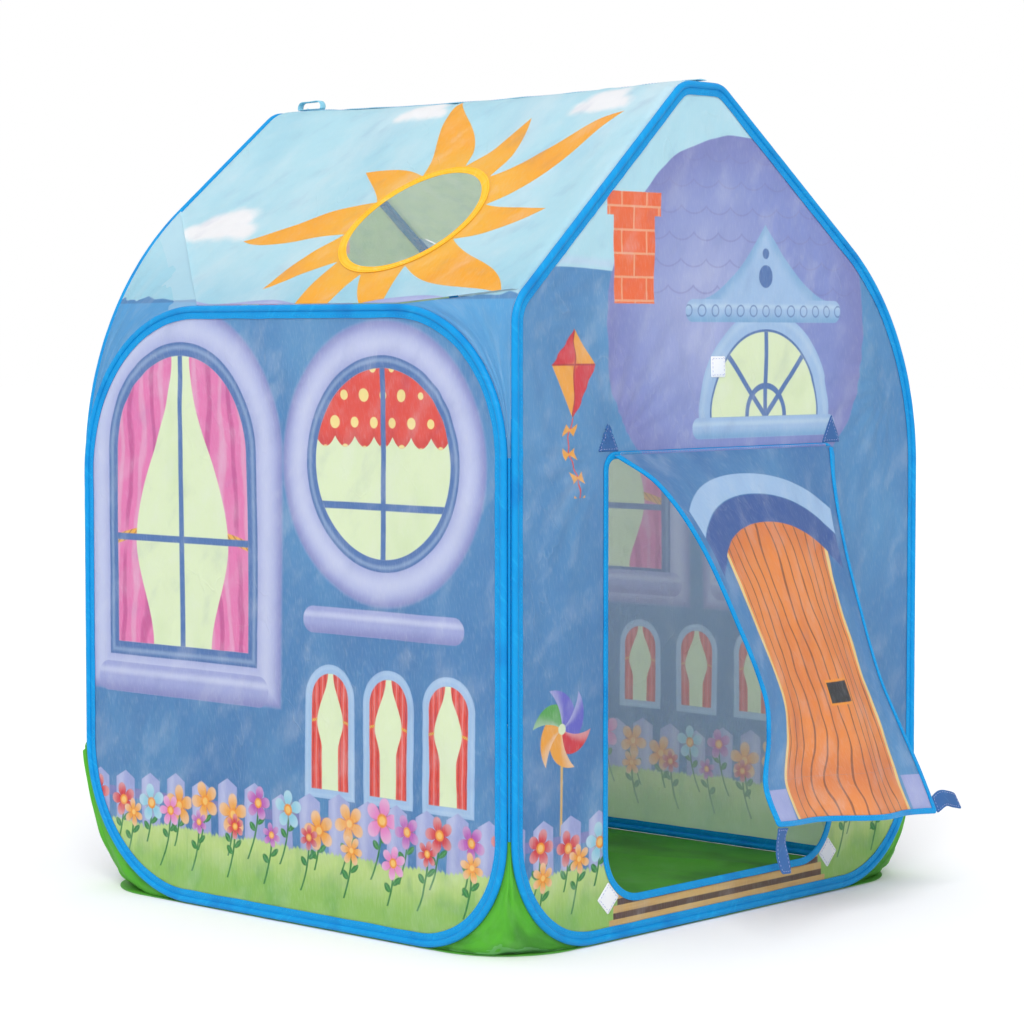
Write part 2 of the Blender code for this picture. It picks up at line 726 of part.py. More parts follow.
def add_hanging_loop(body, slope):
    """The flat loop of tape sewn on at the rear end of the ridge."""
    base = RIDGE_SHEET_TOP + FABRIC + 2 * FABRIC_GAP
    rear = GABLE_PLANE - LOOP_INSET
    middle = slope.ridge(rear - LOOP_LENGTH / 2).x
    corners = [
        (rear - LOOP_LENGTH, base, LOOP_STRIP, PEAK_STEPS),
        (rear, base, LOOP_STRIP, PEAK_STEPS),
        (rear, base + LOOP_HEIGHT, LOOP_HEIGHT / 2, CORNER_STEPS),
        (rear - LOOP_LENGTH, base + LOOP_HEIGHT, LOOP_HEIGHT / 2, CORNER_STEPS),
    ]
    outline = rounded_outline(corners)
    inner = offset_outline(outline, LOOP_STRIP)
    place = wall_place(middle)
    loops = []
    for loop, side in ((outline, -1), (outline, 1), (inner, 1), (inner, -1)):
        loops.append([place(point, side * LOOP_WIDTH / 2) for point in loop])
    add_piece("hanging_loop", body, *stacked_rings(loops, False), AZURE)


def add_corner_seam(name, body, side_x, side_y, low, high):
    """The stitched seam at an upright corner, about which two hoops fold."""
    corner = Vector((side_x * HINGE_X, side_y * HINGE_Y))
    section = [corner + spot for spot in round_section(FERRULE_SIDES, CORNER_SEAM_RADIUS)]
    rings = []
    for height in (low + CORNER_SEAM_END_GAP, high - CORNER_SEAM_END_GAP):
        rings.append([Vector((spot.x, spot.y, height)) for spot in section])
    add_piece(name, body, *skin_rings(rings, False), AZURE)


def upright_span(wall, wall_foot, wall_top, gable, gable_foot, gable_top):
    """Lowest and highest point at which both hoops of a corner still run upright."""
    lows = [corner_arc(corners, index)[::3] for corners, index in ((wall, wall_foot), (gable, gable_foot))]
    highs = [corner_arc(corners, index)[::3] for corners, index in ((wall, wall_top), (gable, gable_top))]
    low = max(max(first.y, second.y) for first, second in lows)
    high = min(min(first.y, second.y) for first, second in highs)
    return low, high


def add_front_patches(body):
    """Pieces sewn flat on the front panel: closure patches, hold-up patch and corner reinforcements."""
    place = gable_place(FRONT_FACE - FABRIC_GAP - FABRIC / 2)
    corners = door_corners()
    for name, index, side in (("closure_patch_left", 0, -1), ("closure_patch_right", 1, 1)):
        _, centre, _, _ = corner_arc(corners, index)
        reach = DOOR_FOOT_RADIUS + DOOR_TAPE_FACE + FABRIC_GAP + CLOSURE_PATCH_SIZE / 2
        middle = centre + Vector((side, -1.0)).normalized() * reach
        add_patch(name, body, square(middle, CLOSURE_PATCH_SIZE, math.pi / 4), place, PATCH_WHITE)
    middle = Vector((DOOR_CENTRE + HOLD_PATCH_OFFSET, DOOR_TOP_HEIGHT + HOLD_PATCH_RISE))
    add_patch("hold_up_patch", body, square(middle, HOLD_PATCH_SIZE, 0.0), place, PATCH_WHITE)
    low = DOOR_TOP_HEIGHT + DOOR_TAPE_FACE + FABRIC_GAP
    for name, side in (("door_corner_patch_left", -1), ("door_corner_patch_right", 1)):
        middle = DOOR_CENTRE + side * DOOR_WIDTH / 2
        outline = [
            Vector((middle - CORNER_PATCH_WIDTH / 2, low)),
            Vector((middle + CORNER_PATCH_WIDTH / 2, low)),
            Vector((middle, low + CORNER_PATCH_HEIGHT)),
        ]
        add_patch(name, body, outline, place, DEEP_BLUE)


def square(middle, size, angle):
    """Anticlockwise corners of a square turned about its middle."""
    half = size / 2
    spots = [Vector(spot) for spot in ((-half, -half), (half, -half), (half, half), (-half, half))]
    return [middle + turned(spot, angle) for spot in spots]


def add_patch(name, body, outline, place, colour):
    """A small flat piece of fabric."""
    add_piece(name, body, *flat_sheet(outline, FABRIC, place), colour, smooth=False)


def flap_point(across, station):
    """A point of the flap's middle surface, by share of its width and station down its drop."""
    left = smooth_share(FLAP_LEFT_SHARES, station)
    right = smooth_share(FLAP_RIGHT_SHARES, station)
    middle = DOOR_CENTRE + FLAP_OFFSET
    hinge = Vector((middle, FLAP_PLANE, FLAP_HEIGHT))
    ends = []
    for side, (sideways, outward, down) in ((-1, left), (1, right)):
        shift = side * FLAP_WIDTH / 2 + sideways * FLAP_WIDTH
        ends.append(hinge + Vector((shift, -outward * FLAP_DROP, -down * FLAP_DROP)))
    wave = math.sin(2 * math.pi * FLAP_WAVES * across + FLAP_WAVE_PHASE) * math.sin(math.pi * across)
    fold = FLAP_FOLD_DEPTH * wave * station
    return ends[0].lerp(ends[1], across) + Vector((0.0, -fold, 0.0))


def flap_grid():
    """Rows of points of the flap, with a narrow column and row where its tape lies."""
    edge = FLAP_TAPE_FACE / FLAP_WIDTH
    inner = [edge + (1 - 2 * edge) * column / FLAP_COLUMNS for column in range(FLAP_COLUMNS + 1)]
    columns = [0.0, *inner, 1.0]
    hem = FLAP_TAPE_FACE / FLAP_DROP
    stations = [(1 - hem) * row / FLAP_ROWS for row in range(FLAP_ROWS + 1)] + [1.0]
    return [[flap_point(across, station) for across in columns] for station in stations]


def flap_border(grid, normals):
    """Outer point, inner point and both normals along the flap's left, lower and right edges."""
    low = len(grid) - 1
    last = len(grid[0]) - 1
    spots = [((row, 0), (row, 1), (row, 1)) for row in range(low - 1)]
    spots.append(((low - 1, 0), (low - 2, 1), (low - 1, 1)))
    spots.append(((low, 0), (low - 1, 1), (low - 1, 1)))
    spots.append(((low, 1), (low - 1, 2), (low - 1, 1)))
    spots += [((low, column), (low - 1, column), (low - 1, column)) for column in range(2, last - 1)]
    spots.append(((low, last - 1), (low - 1, last - 2), (low - 1, last - 1)))
    spots.append(((low, last), (low - 1, last - 1), (low - 1, last - 1)))
    spots.append(((low - 1, last), (low - 2, last - 1), (low - 1, last - 1)))
    spots += [((row, last), (row, last - 1), (row, last - 1)) for row in range(low - 2, -1, -1)]
    border = []
    for (row, column), (row_a, column_a), (row_b, column_b) in spots:
        inner = grid[row_a][column_a].lerp(grid[row_b][column_b], FLAP_MITER_SHARE)
        inner_normal = normals[row_a][column_a].lerp(normals[row_b][column_b], FLAP_MITER_SHARE)
        border.append((grid[row][column], inner, normals[row][column], inner_normal))
    return border


def add_flap(body):
    """The door flap with its main folds, its edge tape and the two closing tabs."""
    grid = flap_grid()
    normals = grid_normals(grid)
    add_piece("door_flap", body, *thick_grid(grid, FABRIC), DOOR_ORANGE)
    slot = FABRIC / 2 + FLAP_TAPE_GAP
    rings = []
    for outer, inner, outer_normal, inner_normal in flap_border(grid, normals):
        outward = (outer - inner).normalized()
        close = outer + outward * FABRIC_GAP
        edge = outer + outward * (FABRIC_GAP + TAPE_WALL)
        rings.append([
            inner + inner_normal * (slot + TAPE_WALL),
            edge + outer_normal * (slot + TAPE_WALL),
            edge - outer_normal * (slot + TAPE_WALL),
            inner - inner_normal * (slot + TAPE_WALL),
            inner - inner_normal * slot,
            close - outer_normal * slot,
            close + outer_normal * slot,
            inner + inner_normal * slot,
        ])
    points, faces = skin_rings(rings, False)
    add_piece("flap_binding", body, points, faces, AZURE, roughness=0.45)
    forward = Vector((0.0, -1.0, 0.0))
    sideways = Vector((1.0, 0.0, 0.0))
    upward = Vector((0.0, 0.0, 1.0))
    add_tab("flap_tab_left", body, grid, 0, -upward, forward, LEFT_TAB_SHARES)
    add_tab("flap_tab_right", body, grid, -1, sideways, upward, RIGHT_TAB_SHARES)


def add_tab(name, body, grid, column, along, lift, shares):
    """A strip of doubled fabric that starts just past the tape at a lower corner of the flap."""
    corner = grid[-1][column]
    toward = grid[-1][1] - corner if column == 0 else grid[-2][column] - corner
    across = toward.normalized() * TAB_WIDTH
    start = corner + along * (2 * FABRIC_GAP + TAPE_WALL)
    rows = []
    for travelled, raised in shares:
        spot = start + along * travelled * TAB_LENGTH + lift * raised * TAB_LENGTH
        rows.append([spot, spot + across / 2, spot + across])
    add_piece(name, body, *thick_grid(rows, TAB_FABRIC), DEEP_BLUE)


def add_flap_seam(body):
    """The strip on the front panel to which the flap's upper edge is sewn."""
    middle = DOOR_CENTRE + FLAP_OFFSET
    half = FLAP_WIDTH / 2 - FLAP_SEAM_INSET
    back = -GABLE_PLANE - LEG_HALF - FABRIC_GAP
    front = FLAP_PLANE + FABRIC / 2 + FABRIC_GAP
    outline = [
        Vector((middle - half, FLAP_HEIGHT - FLAP_SEAM_HEIGHT / 2)),
        Vector((middle + half, FLAP_HEIGHT - FLAP_SEAM_HEIGHT / 2)),
        Vector((middle + half, FLAP_HEIGHT + FLAP_SEAM_HEIGHT / 2)),
        Vector((middle - half, FLAP_HEIGHT + FLAP_SEAM_HEIGHT / 2)),
    ]
    sheet = flat_sheet(outline, back - front, gable_place((back + front) / 2))
    add_piece("flap_seam", body, *sheet, WALL_BLUE, smooth=False)


def add_floor(body):
    """The floor sheet on the ground, with rounded corners."""
    half_x = WALL_PLANE
    half_y = GABLE_PLANE
    corners = [
        (-half_x, -half_y, FLOOR_CORNER_RADIUS, CORNER_STEPS),
        (half_x, -half_y, FLOOR_CORNER_RADIUS, CORNER_STEPS),
        (half_x, half_y, FLOOR_CORNER_RADIUS, CORNER_STEPS),
        (-half_x, half_y, FLOOR_CORNER_RADIUS, CORNER_STEPS),
    ]
    sheet = flat_sheet(rounded_outline(corners), FABRIC, level_place(FABRIC / 2))
    add_piece("floor_sheet", body, *sheet, GRASS_GREEN, smooth=False)


def build_front(body):
    """The front gable with the door opening, the floor and everything sewn to them."""
    door = rounded_outline(door_corners())
    hole = offset_outline(door, -(TAPE_WALL + FABRIC_GAP))
    place = gable_place(-GABLE_PLANE)
    add_hoop("front", body, FRONT_CORNERS, place, WALL_BLUE, (hole,))
    tape = swept_tape(door, edge_tape_profile(DOOR_TAPE_FACE), place, -1)
    add_piece("door_edge_binding", body, *tape, AZURE, roughness=0.45)
    add_front_patches(body)
    add_flap_seam(body)
    add_floor(body)
    add_foot_gusset("front_left_foot_gusset", body, LEFT_CORNERS, -1, 0, FRONT_CORNERS, -1, 0)
    add_foot_gusset("front_right_foot_gusset", body, RIGHT_CORNERS, 1, 0, FRONT_CORNERS, -1, 1)
    add_eave_gusset("front_left_eave_gusset", body, LEFT_CORNERS, -1, 3, FRONT_CORNERS, -1, 5)
    add_eave_gusset("front_right_eave_gusset", body, RIGHT_CORNERS, 1, 3, FRONT_CORNERS, -1, 2)
    left_span = upright_span(LEFT_CORNERS, 0, 3, FRONT_CORNERS, 0, 5)
    right_span = upright_span(RIGHT_CORNERS, 0, 3, FRONT_CORNERS, 1, 2)
    add_corner_seam("front_left_corner_seam", body, -1, -1, *left_span)
    add_corner_seam("front_right_corner_seam", body, 1, -1, *right_span)


def build_rear(body):
    """The rear gable and the gussets and seams sewn to it."""
    add_hoop("rear", body, REAR_CORNERS, gable_place(GABLE_PLANE), WALL_BLUE)
    add_foot_gusset("rear_left_foot_gusset", body, LEFT_CORNERS, -1, 1, REAR_CORNERS, 1, 0)
    add_foot_gusset("rear_right_foot_gusset", body, RIGHT_CORNERS, 1, 1, REAR_CORNERS, 1, 1)
    add_eave_gusset("rear_left_eave_gusset", body, LEFT_CORNERS, -1, 2, REAR_CORNERS, 1, 5)
    add_eave_gusset("rear_right_eave_gusset", body, RIGHT_CORNERS, 1, 2, REAR_CORNERS, 1, 2)
    left_span = upright_span(LEFT_CORNERS, 1, 2, REAR_CORNERS, 0, 5)
    right_span = upright_span(RIGHT_CORNERS, 1, 2, REAR_CORNERS, 1, 2)
    add_corner_seam("rear_left_corner_seam", body, -1, 1, *left_span)
    add_corner_seam("rear_right_corner_seam", body, 1, 1, *right_span)


def build_roofs(left_body, right_body):
    """Both slopes of the roof, the skylight in the left one and the ridge tape and loop on the right one."""
    left = RoofSlope(-1, LEFT_EAVE_HEIGHT, 5, 4)
    right = RoofSlope(1, RIGHT_EAVE_HEIGHT, 2, 3)
    left_sheet = left.sheet(LEFT_CORNERS, skylight_circle(SKYLIGHT_RADIUS))
    add_piece("left_roof_panel", left_body, *left_sheet, SKY_AQUA)
    add_piece("right_roof_panel", right_body, *right.sheet(RIGHT_CORNERS), SKY_AQUA)
    add_skylight(left_body, left)
    add_ridge_tape(right_body, right)
    add_hanging_loop(right_body, right)


def build_tent():
    """All bodies and pieces of the tent."""
    clear_scene()
    front = Body("front", (0.0, 0.0, 0.0))
    left_wall = Body("left_wall", (-HINGE_X, -HINGE_Y, 0.0), front)
    right_wall = Body("right_wall", (HINGE_X, -HINGE_Y, 0.0), front)
    rear = Body("rear", (-HINGE_X, HINGE_Y, 0.0), left_wall)
    left_roof = Body("left_roof", (-GABLE_HALF, 0.0, LEFT_EAVE_HEIGHT), left_wall)
    right_roof = Body("right_roof", (GABLE_HALF, 0.0, RIGHT_EAVE_HEIGHT), right_wall)
    flap = Body("flap", (DOOR_CENTRE + FLAP_OFFSET, FLAP_PLANE, FLAP_HEIGHT), front)
    build_front(front)
    add_hoop("left", left_wall, LEFT_CORNERS, wall_place(-WALL_PLANE), WALL_BLUE)
    add_hoop("right", right_wall, RIGHT_CORNERS, wall_place(WALL_PLANE), WALL_BLUE)
    build_rear(rear)
    build_roofs(left_roof, right_roof)
    add_flap(flap)


build_tent()
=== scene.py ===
"""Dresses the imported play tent: printed cloth, folded tape, net, stitches and a plain studio."""
import json
import logging
import math
from dataclasses import dataclass, field
from enum import Enum
from functools import lru_cache
from typing import Callable, Sequence

import bmesh
import bpy
import numpy as np
from mathutils import Matrix, Vector, geometry, kdtree, noise

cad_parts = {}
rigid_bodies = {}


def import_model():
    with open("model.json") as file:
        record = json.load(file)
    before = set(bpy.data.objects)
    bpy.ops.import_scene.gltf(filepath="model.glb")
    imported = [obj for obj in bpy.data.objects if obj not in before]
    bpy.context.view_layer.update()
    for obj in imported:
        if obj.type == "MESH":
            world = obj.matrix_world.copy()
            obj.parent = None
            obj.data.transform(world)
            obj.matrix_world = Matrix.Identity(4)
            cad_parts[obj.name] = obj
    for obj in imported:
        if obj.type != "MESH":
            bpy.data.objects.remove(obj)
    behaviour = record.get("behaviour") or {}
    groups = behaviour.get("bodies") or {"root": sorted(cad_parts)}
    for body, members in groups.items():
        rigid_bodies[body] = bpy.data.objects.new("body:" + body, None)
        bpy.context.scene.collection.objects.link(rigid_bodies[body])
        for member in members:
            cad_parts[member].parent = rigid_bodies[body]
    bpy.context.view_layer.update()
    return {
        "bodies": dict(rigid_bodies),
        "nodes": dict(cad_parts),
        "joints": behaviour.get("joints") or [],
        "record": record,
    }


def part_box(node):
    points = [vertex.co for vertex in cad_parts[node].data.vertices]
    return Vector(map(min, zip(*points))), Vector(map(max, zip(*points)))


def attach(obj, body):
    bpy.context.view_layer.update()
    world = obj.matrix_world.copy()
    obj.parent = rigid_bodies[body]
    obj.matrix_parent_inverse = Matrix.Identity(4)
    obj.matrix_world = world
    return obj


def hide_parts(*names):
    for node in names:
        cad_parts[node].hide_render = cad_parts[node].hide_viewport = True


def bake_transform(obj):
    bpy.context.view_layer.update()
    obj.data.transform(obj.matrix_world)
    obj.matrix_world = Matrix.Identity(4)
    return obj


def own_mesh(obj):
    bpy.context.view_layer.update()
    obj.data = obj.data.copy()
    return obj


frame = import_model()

LOG = logging.getLogger("play_tent")

# Planes and half widths of the hoops, in metres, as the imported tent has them
GABLE_HALF = 0.3714
WALL_HALF = 0.3464
GABLE_PLANE = 0.3509
WALL_PLANE = 0.3759
HINGE_X = 0.3716
HINGE_Y = 0.3466
BASE = 0.0013
RIDGE = 0.958
LEFT_EAVE = 0.7065
RIGHT_EAVE = 0.680
PEAK_FLAT = 0.071
FRONT_PEAK = -0.0535
REAR_PEAK = -0.0195
CORNER_ROOM = 0.48
TUBE = 0.0041
SEAM_LAP = 0.0012
CLOTH_HALF = 0.00025
STITCH_LIFT = 0.0016
STITCH_SHARE = 0.72
UPRIGHT = Vector((0.0, 0.0, 1.0))

Corners = Sequence[tuple[float, float, float]]
Surface = Callable[[float, float, float], Vector]
Ring = list[tuple[float, float]]
Line = Sequence[Vector]
Tree = bpy.types.NodeTree
Node = bpy.types.Node
Socket = bpy.types.NodeSocket
Object = bpy.types.Object
Material = bpy.types.Material


def gable_corners(left_foot: float, right_foot: float, left: float, right: float, peak: float) -> Corners:
    """Corners of a gable hoop, anticlockwise from its left foot, as place, height and radius."""
    return (
        (-GABLE_HALF, BASE, left_foot),
        (GABLE_HALF, BASE, right_foot),
        (GABLE_HALF, RIGHT_EAVE, right),
        (peak + PEAK_FLAT / 2, RIDGE, 0.040),
        (peak - PEAK_FLAT / 2, RIDGE, 0.040),
        (-GABLE_HALF, LEFT_EAVE, left),
    )


def wall_corners(eave: float) -> Corners:
    """Corners of a wall hoop, anticlockwise from its front foot, as place, height and radius."""
    return (
        (-WALL_HALF, BASE, 0.130),
        (WALL_HALF, BASE, 0.180),
        (WALL_HALF, eave, 0.200),
        (-WALL_HALF, eave, 0.165),
    )


FRONT_CORNERS = gable_corners(0.130, 0.150, 0.050, 0.330, FRONT_PEAK)
REAR_CORNERS = gable_corners(0.150, 0.150, 0.420, 0.420, REAR_PEAK)
LEFT_CORNERS = wall_corners(LEFT_EAVE)
RIGHT_CORNERS = wall_corners(RIGHT_EAVE)

# The ridge tape's section, as shares of its half width with the lift
RIDGE_SECTION = ((-1.0, 0.0), (-0.4, 0.0), (0.4, 0.0), (1.0, 0.0), (1.0, 0.0006), (0.7, 0.0009), (0.25, 0.0011),
                 (-0.25, 0.0011), (-0.7, 0.0009), (-1.0, 0.0006))

# Door opening and flap
DOOR_WIDTH = 0.410
DOOR_CENTRE = -0.0105
DOOR_SILL = 0.048
DOOR_TOP = 0.536
FLAP_WIDTH = 0.402
FLAP_DROP = 0.470
FLAP_HINGE = Vector((-0.0075, -0.3548, 0.540))
FLAP_LEFT = (
    (0.00, 0.000, 0.000, 0.000),
    (0.10, 0.080, 0.070, 0.068),
    (0.24, 0.158, 0.140, 0.200),
    (0.42, 0.240, 0.198, 0.390),
    (0.60, 0.312, 0.236, 0.570),
    (0.72, 0.280, 0.268, 0.665),
    (0.86, 0.195, 0.315, 0.765),
    (1.00, 0.202, 0.352, 0.858),
)
FLAP_RIGHT = (
    (0.00, 0.000, 0.000, 0.000),
    (0.10, -0.028, 0.027, 0.090),
    (0.24, -0.040, 0.062, 0.225),
    (0.42, -0.026, 0.106, 0.400),
    (0.60, 0.004, 0.150, 0.575),
    (0.72, 0.050, 0.180, 0.690),
    (0.86, 0.100, 0.217, 0.815),
    (1.00, 0.135, 0.250, 0.930),
)
LEFT_TAB = ((0.0, 0.0), (0.30, -0.06), (0.62, -0.02), (1.0, 0.10))
RIGHT_TAB = ((0.0, 0.0), (0.34, 0.12), (0.68, 0.06), (1.0, -0.02))


# ---------------------------------------------------------------- flat outlines and forms

def ease(value: float, low: float, high: float) -> float:
    """Rises smoothly from 0 at low to 1 at high."""
    share = min(max((value - low) / (high - low), 0.0), 1.0)
    return share * share * (3.0 - 2.0 * share)


def ripple(first: float, second: float, seed: float) -> float:
    """Smooth noise from -1 to 1 at a flat place."""
    return noise.noise(Vector((first, second, seed)))


def turned(vector: Vector, angle: float) -> Vector:
    """A flat vector turned anticlockwise."""
    return Matrix.Rotation(angle, 2) @ vector


def corner_arc(corners: Corners, index: int) -> tuple[Vector, Vector, float, Vector]:
    """The arc that rounds one corner of an anticlockwise outline.

    Args:
        corners: The outline's corners as place, height and radius.
        index: Which corner.

    Returns:
        The arc's start, its centre, its turn and its end.
    """
    here = Vector(corners[index][:2])
    before = Vector(corners[index - 1][:2]) - here
    after = Vector(corners[(index + 1) % len(corners)][:2]) - here
    turn = math.pi - before.angle(after)
    tangent = min(corners[index][2] * math.tan(turn / 2), CORNER_ROOM * min(before.length, after.length))
    reach = tangent / math.tan(turn / 2) / math.cos(turn / 2)
    centre = here + (before.normalized() + after.normalized()).normalized() * reach
    return here + before.normalized() * tangent, centre, turn, here + after.normalized() * tangent


def evened(points: Line, pitch: float) -> list[Vector]:
    """Points spaced evenly along a closed outline.

    Args:
        points: The outline's points.
        pitch: The wished distance between neighbours.

    Returns:
        The new points, from the first old one on.
    """
    ends = [*points[1:], points[0]]
    lengths = [(end - start).length for start, end in zip(points, ends)]
    count = max(8, round(sum(lengths) / pitch))
    step = sum(lengths) / count
    spaced = []
    gone = 0.0
    for start, end, length in zip(points, ends, lengths):
        while len(spaced) < count and len(spaced) * step <= gone + length:
            spaced.append(start.lerp(end, (len(spaced) * step - gone) / max(length, 1e-9)))
        gone += length
    return spaced


def rounded(corners: Corners, pitch: float = 0.004) -> list[Vector]:
    """Evenly spaced points of an outline with rounded corners."""
    points = []
    for index in range(len(corners)):
        start, centre, turn, _ = corner_arc(corners, index)
        steps = max(4, math.ceil((start - centre).length * turn / pitch * 2))
        points += [centre + turned(start - centre, turn * step / steps) for step in range(steps + 1)]
    return evened(points, pitch)


def box_corners(low: tuple[float, float], high: tuple[float, float], low_radius: float,
                high_radius: float | None = None) -> Corners:
    """Corners of an upright box, anticlockwise, with one radius below and another above."""
    above = low_radius if high_radius is None else high_radius
    return ((*low, low_radius), (high[0], low[1], low_radius), (*high, above), (low[0], high[1], above))


def inward(points: Line, closed: bool = True) -> list[Vector]:
    """For each point of an anticlockwise line, the vector that moves both of its edges in by one metre."""
    miters = []
    last = len(points) - 1
    for index, point in enumerate(points):
        before = point - points[index - 1] if closed or index else points[1] - point
        after = points[(index + 1) % len(points)] - point if closed or index < last else before
        sides = [Vector((-way.y, way.x)).normalized() for way in (before, after)]
        middle = (sides[0] + sides[1]).normalized()
        miters.append(middle / max(middle.dot(sides[1]), 0.3))
    return miters


def moved_in(points: Line, distance: float) -> list[Vector]:
    """An anticlockwise outline moved in by a distance, or out where it is negative."""
    return [point + miter * distance for point, miter in zip(points, inward(points))]


def crossings(loop: Line, level: float) -> list[float]:
    """Where a loop crosses a level."""
    places = []
    for index, here in enumerate(loop):
        before = loop[index - 1]
        if (here.y > level) != (before.y > level):
            share = (level - here.y) / (before.y - here.y)
            places.append(here.x + (before.x - here.x) * share)
    return places


def linked(name: str, data: bpy.types.ID) -> Object:
    """A new object in the scene."""
    obj = bpy.data.objects.new(name, data)
    bpy.context.scene.collection.objects.link(obj)
    return obj


class Form:
    """Points, faces and flat places of one piece, before it is made an object."""

    def __init__(self) -> None:
        """Starts empty."""
        self.points: list[Vector] = []
        self.faces: list[tuple[int, ...]] = []
        self.flat: list[tuple[float, float]] = []
        self.inner: list[float] = []

    def skin(self, rings: Sequence[Line], flats: Sequence[Ring], closed: bool) -> "Form":
        """Joins equal closed rings one after the other, with caps where the run is open.

        Args:
            rings: Points of each ring.
            flats: Flat places of the same points.
            closed: Whether the last ring joins the first.

        Returns:
            The form itself.
        """
        base = len(self.points)
        count = len(rings[0])
        for ring, flat in zip(rings, flats):
            self.points += ring
            self.flat += flat
        for span in range(len(rings) if closed else len(rings) - 1):
            here = base + span * count
            there = base + (span + 1) % len(rings) * count
            for side in range(count):
                after = (side + 1) % count
                self.faces.append((here + side, here + after, there + after, there + side))
        if not closed:
            self.faces.append(tuple(range(base, base + count)))
            self.faces.append(tuple(range(base + (len(rings) - 1) * count, base + len(rings) * count)))
        self.inner += [0.0] * (len(self.points) - base)
        return self

    def doubled(self, outer: Line, inner: Line, flats: Ring, faces: Sequence[tuple[int, ...]]) -> "Form":
        """Two layers with the same faces, closed along their free edges.

        Args:
            outer: Points of the outer layer.
            inner: Points of the inner layer.
            flats: Flat places of either.
            faces: Faces of the outer layer.

        Returns:
            The form itself.
        """
        count = len(outer)
        self.points = [*outer, *inner]
        self.flat = [*flats, *flats]
        self.inner = [0.0] * count + [1.0] * count
        for face in faces:
            self.faces += [tuple(face), tuple(count + index for index in reversed(face))]
        edges = {(face[step - 1], face[step]) for face in faces for step in range(len(face))}
        self.faces += [(start, start + count, end + count, end) for start, end in sorted(edges)
                       if (end, start) not in edges]
        return self

    def shell(self, cut: "Cut", surface: Surface, half: float) -> "Form":
        """A cut of cloth with two faces, each half its thickness off the surface."""
        outer, inner = ([surface(spot.x, spot.y, lift) for spot in cut.spots] for lift in (half, -half))
        return self.doubled(outer, inner, [(spot.x, spot.y) for spot in cut.spots], cut.faces)

    def made(self, name: str, finish: Material, lap: float = 0.0, mend: bool = False,
             sharp: float = 50.0) -> Object:
        """Makes the form an object.

        Args:
            name: The piece's name.
            finish: Its material.
            lap: Length after which the flat place starts again, for a tape that closes on itself.
            mend: Whether the faces are turned outwards first.
            sharp: Angle in degrees past which an edge isn't smoothed.

        Returns:
            The object, linked to the scene.
        """
        mesh = bpy.data.meshes.new(name)
        mesh.from_pydata(self.points, [], self.faces)
        corners = np.empty(len(mesh.loops), np.int32)
        mesh.loops.foreach_get("vertex_index", corners)
        places = np.array(self.flat, np.float32)[corners]
        if lap:
            starts = np.array([polygon.loop_start for polygon in mesh.polygons])
            highest = np.maximum.reduceat(places[:, 0], starts)
            sizes = np.array([polygon.loop_total for polygon in mesh.polygons])
            tall = np.repeat(highest, sizes)
            places[:, 0] += np.where(tall - places[:, 0] > lap / 2, lap, 0.0)
        mesh.uv_layers.new(name="Print").data.foreach_set("uv", places.ravel())
        attribute = mesh.attributes.new("inner", "FLOAT", "POINT")
        attribute.data.foreach_set("value", np.array(self.inner, np.float32))
        mesh.polygons.foreach_set("use_smooth", [True] * len(mesh.polygons))
        if mend:
            work = bmesh.new()
            work.from_mesh(mesh)
            bmesh.ops.recalc_face_normals(work, faces=work.faces[:])
            work.to_mesh(mesh)
            work.free()
        mesh.set_sharp_from_angle(angle=math.radians(sharp))
        mesh.materials.append(finish)
        return linked(name, mesh)


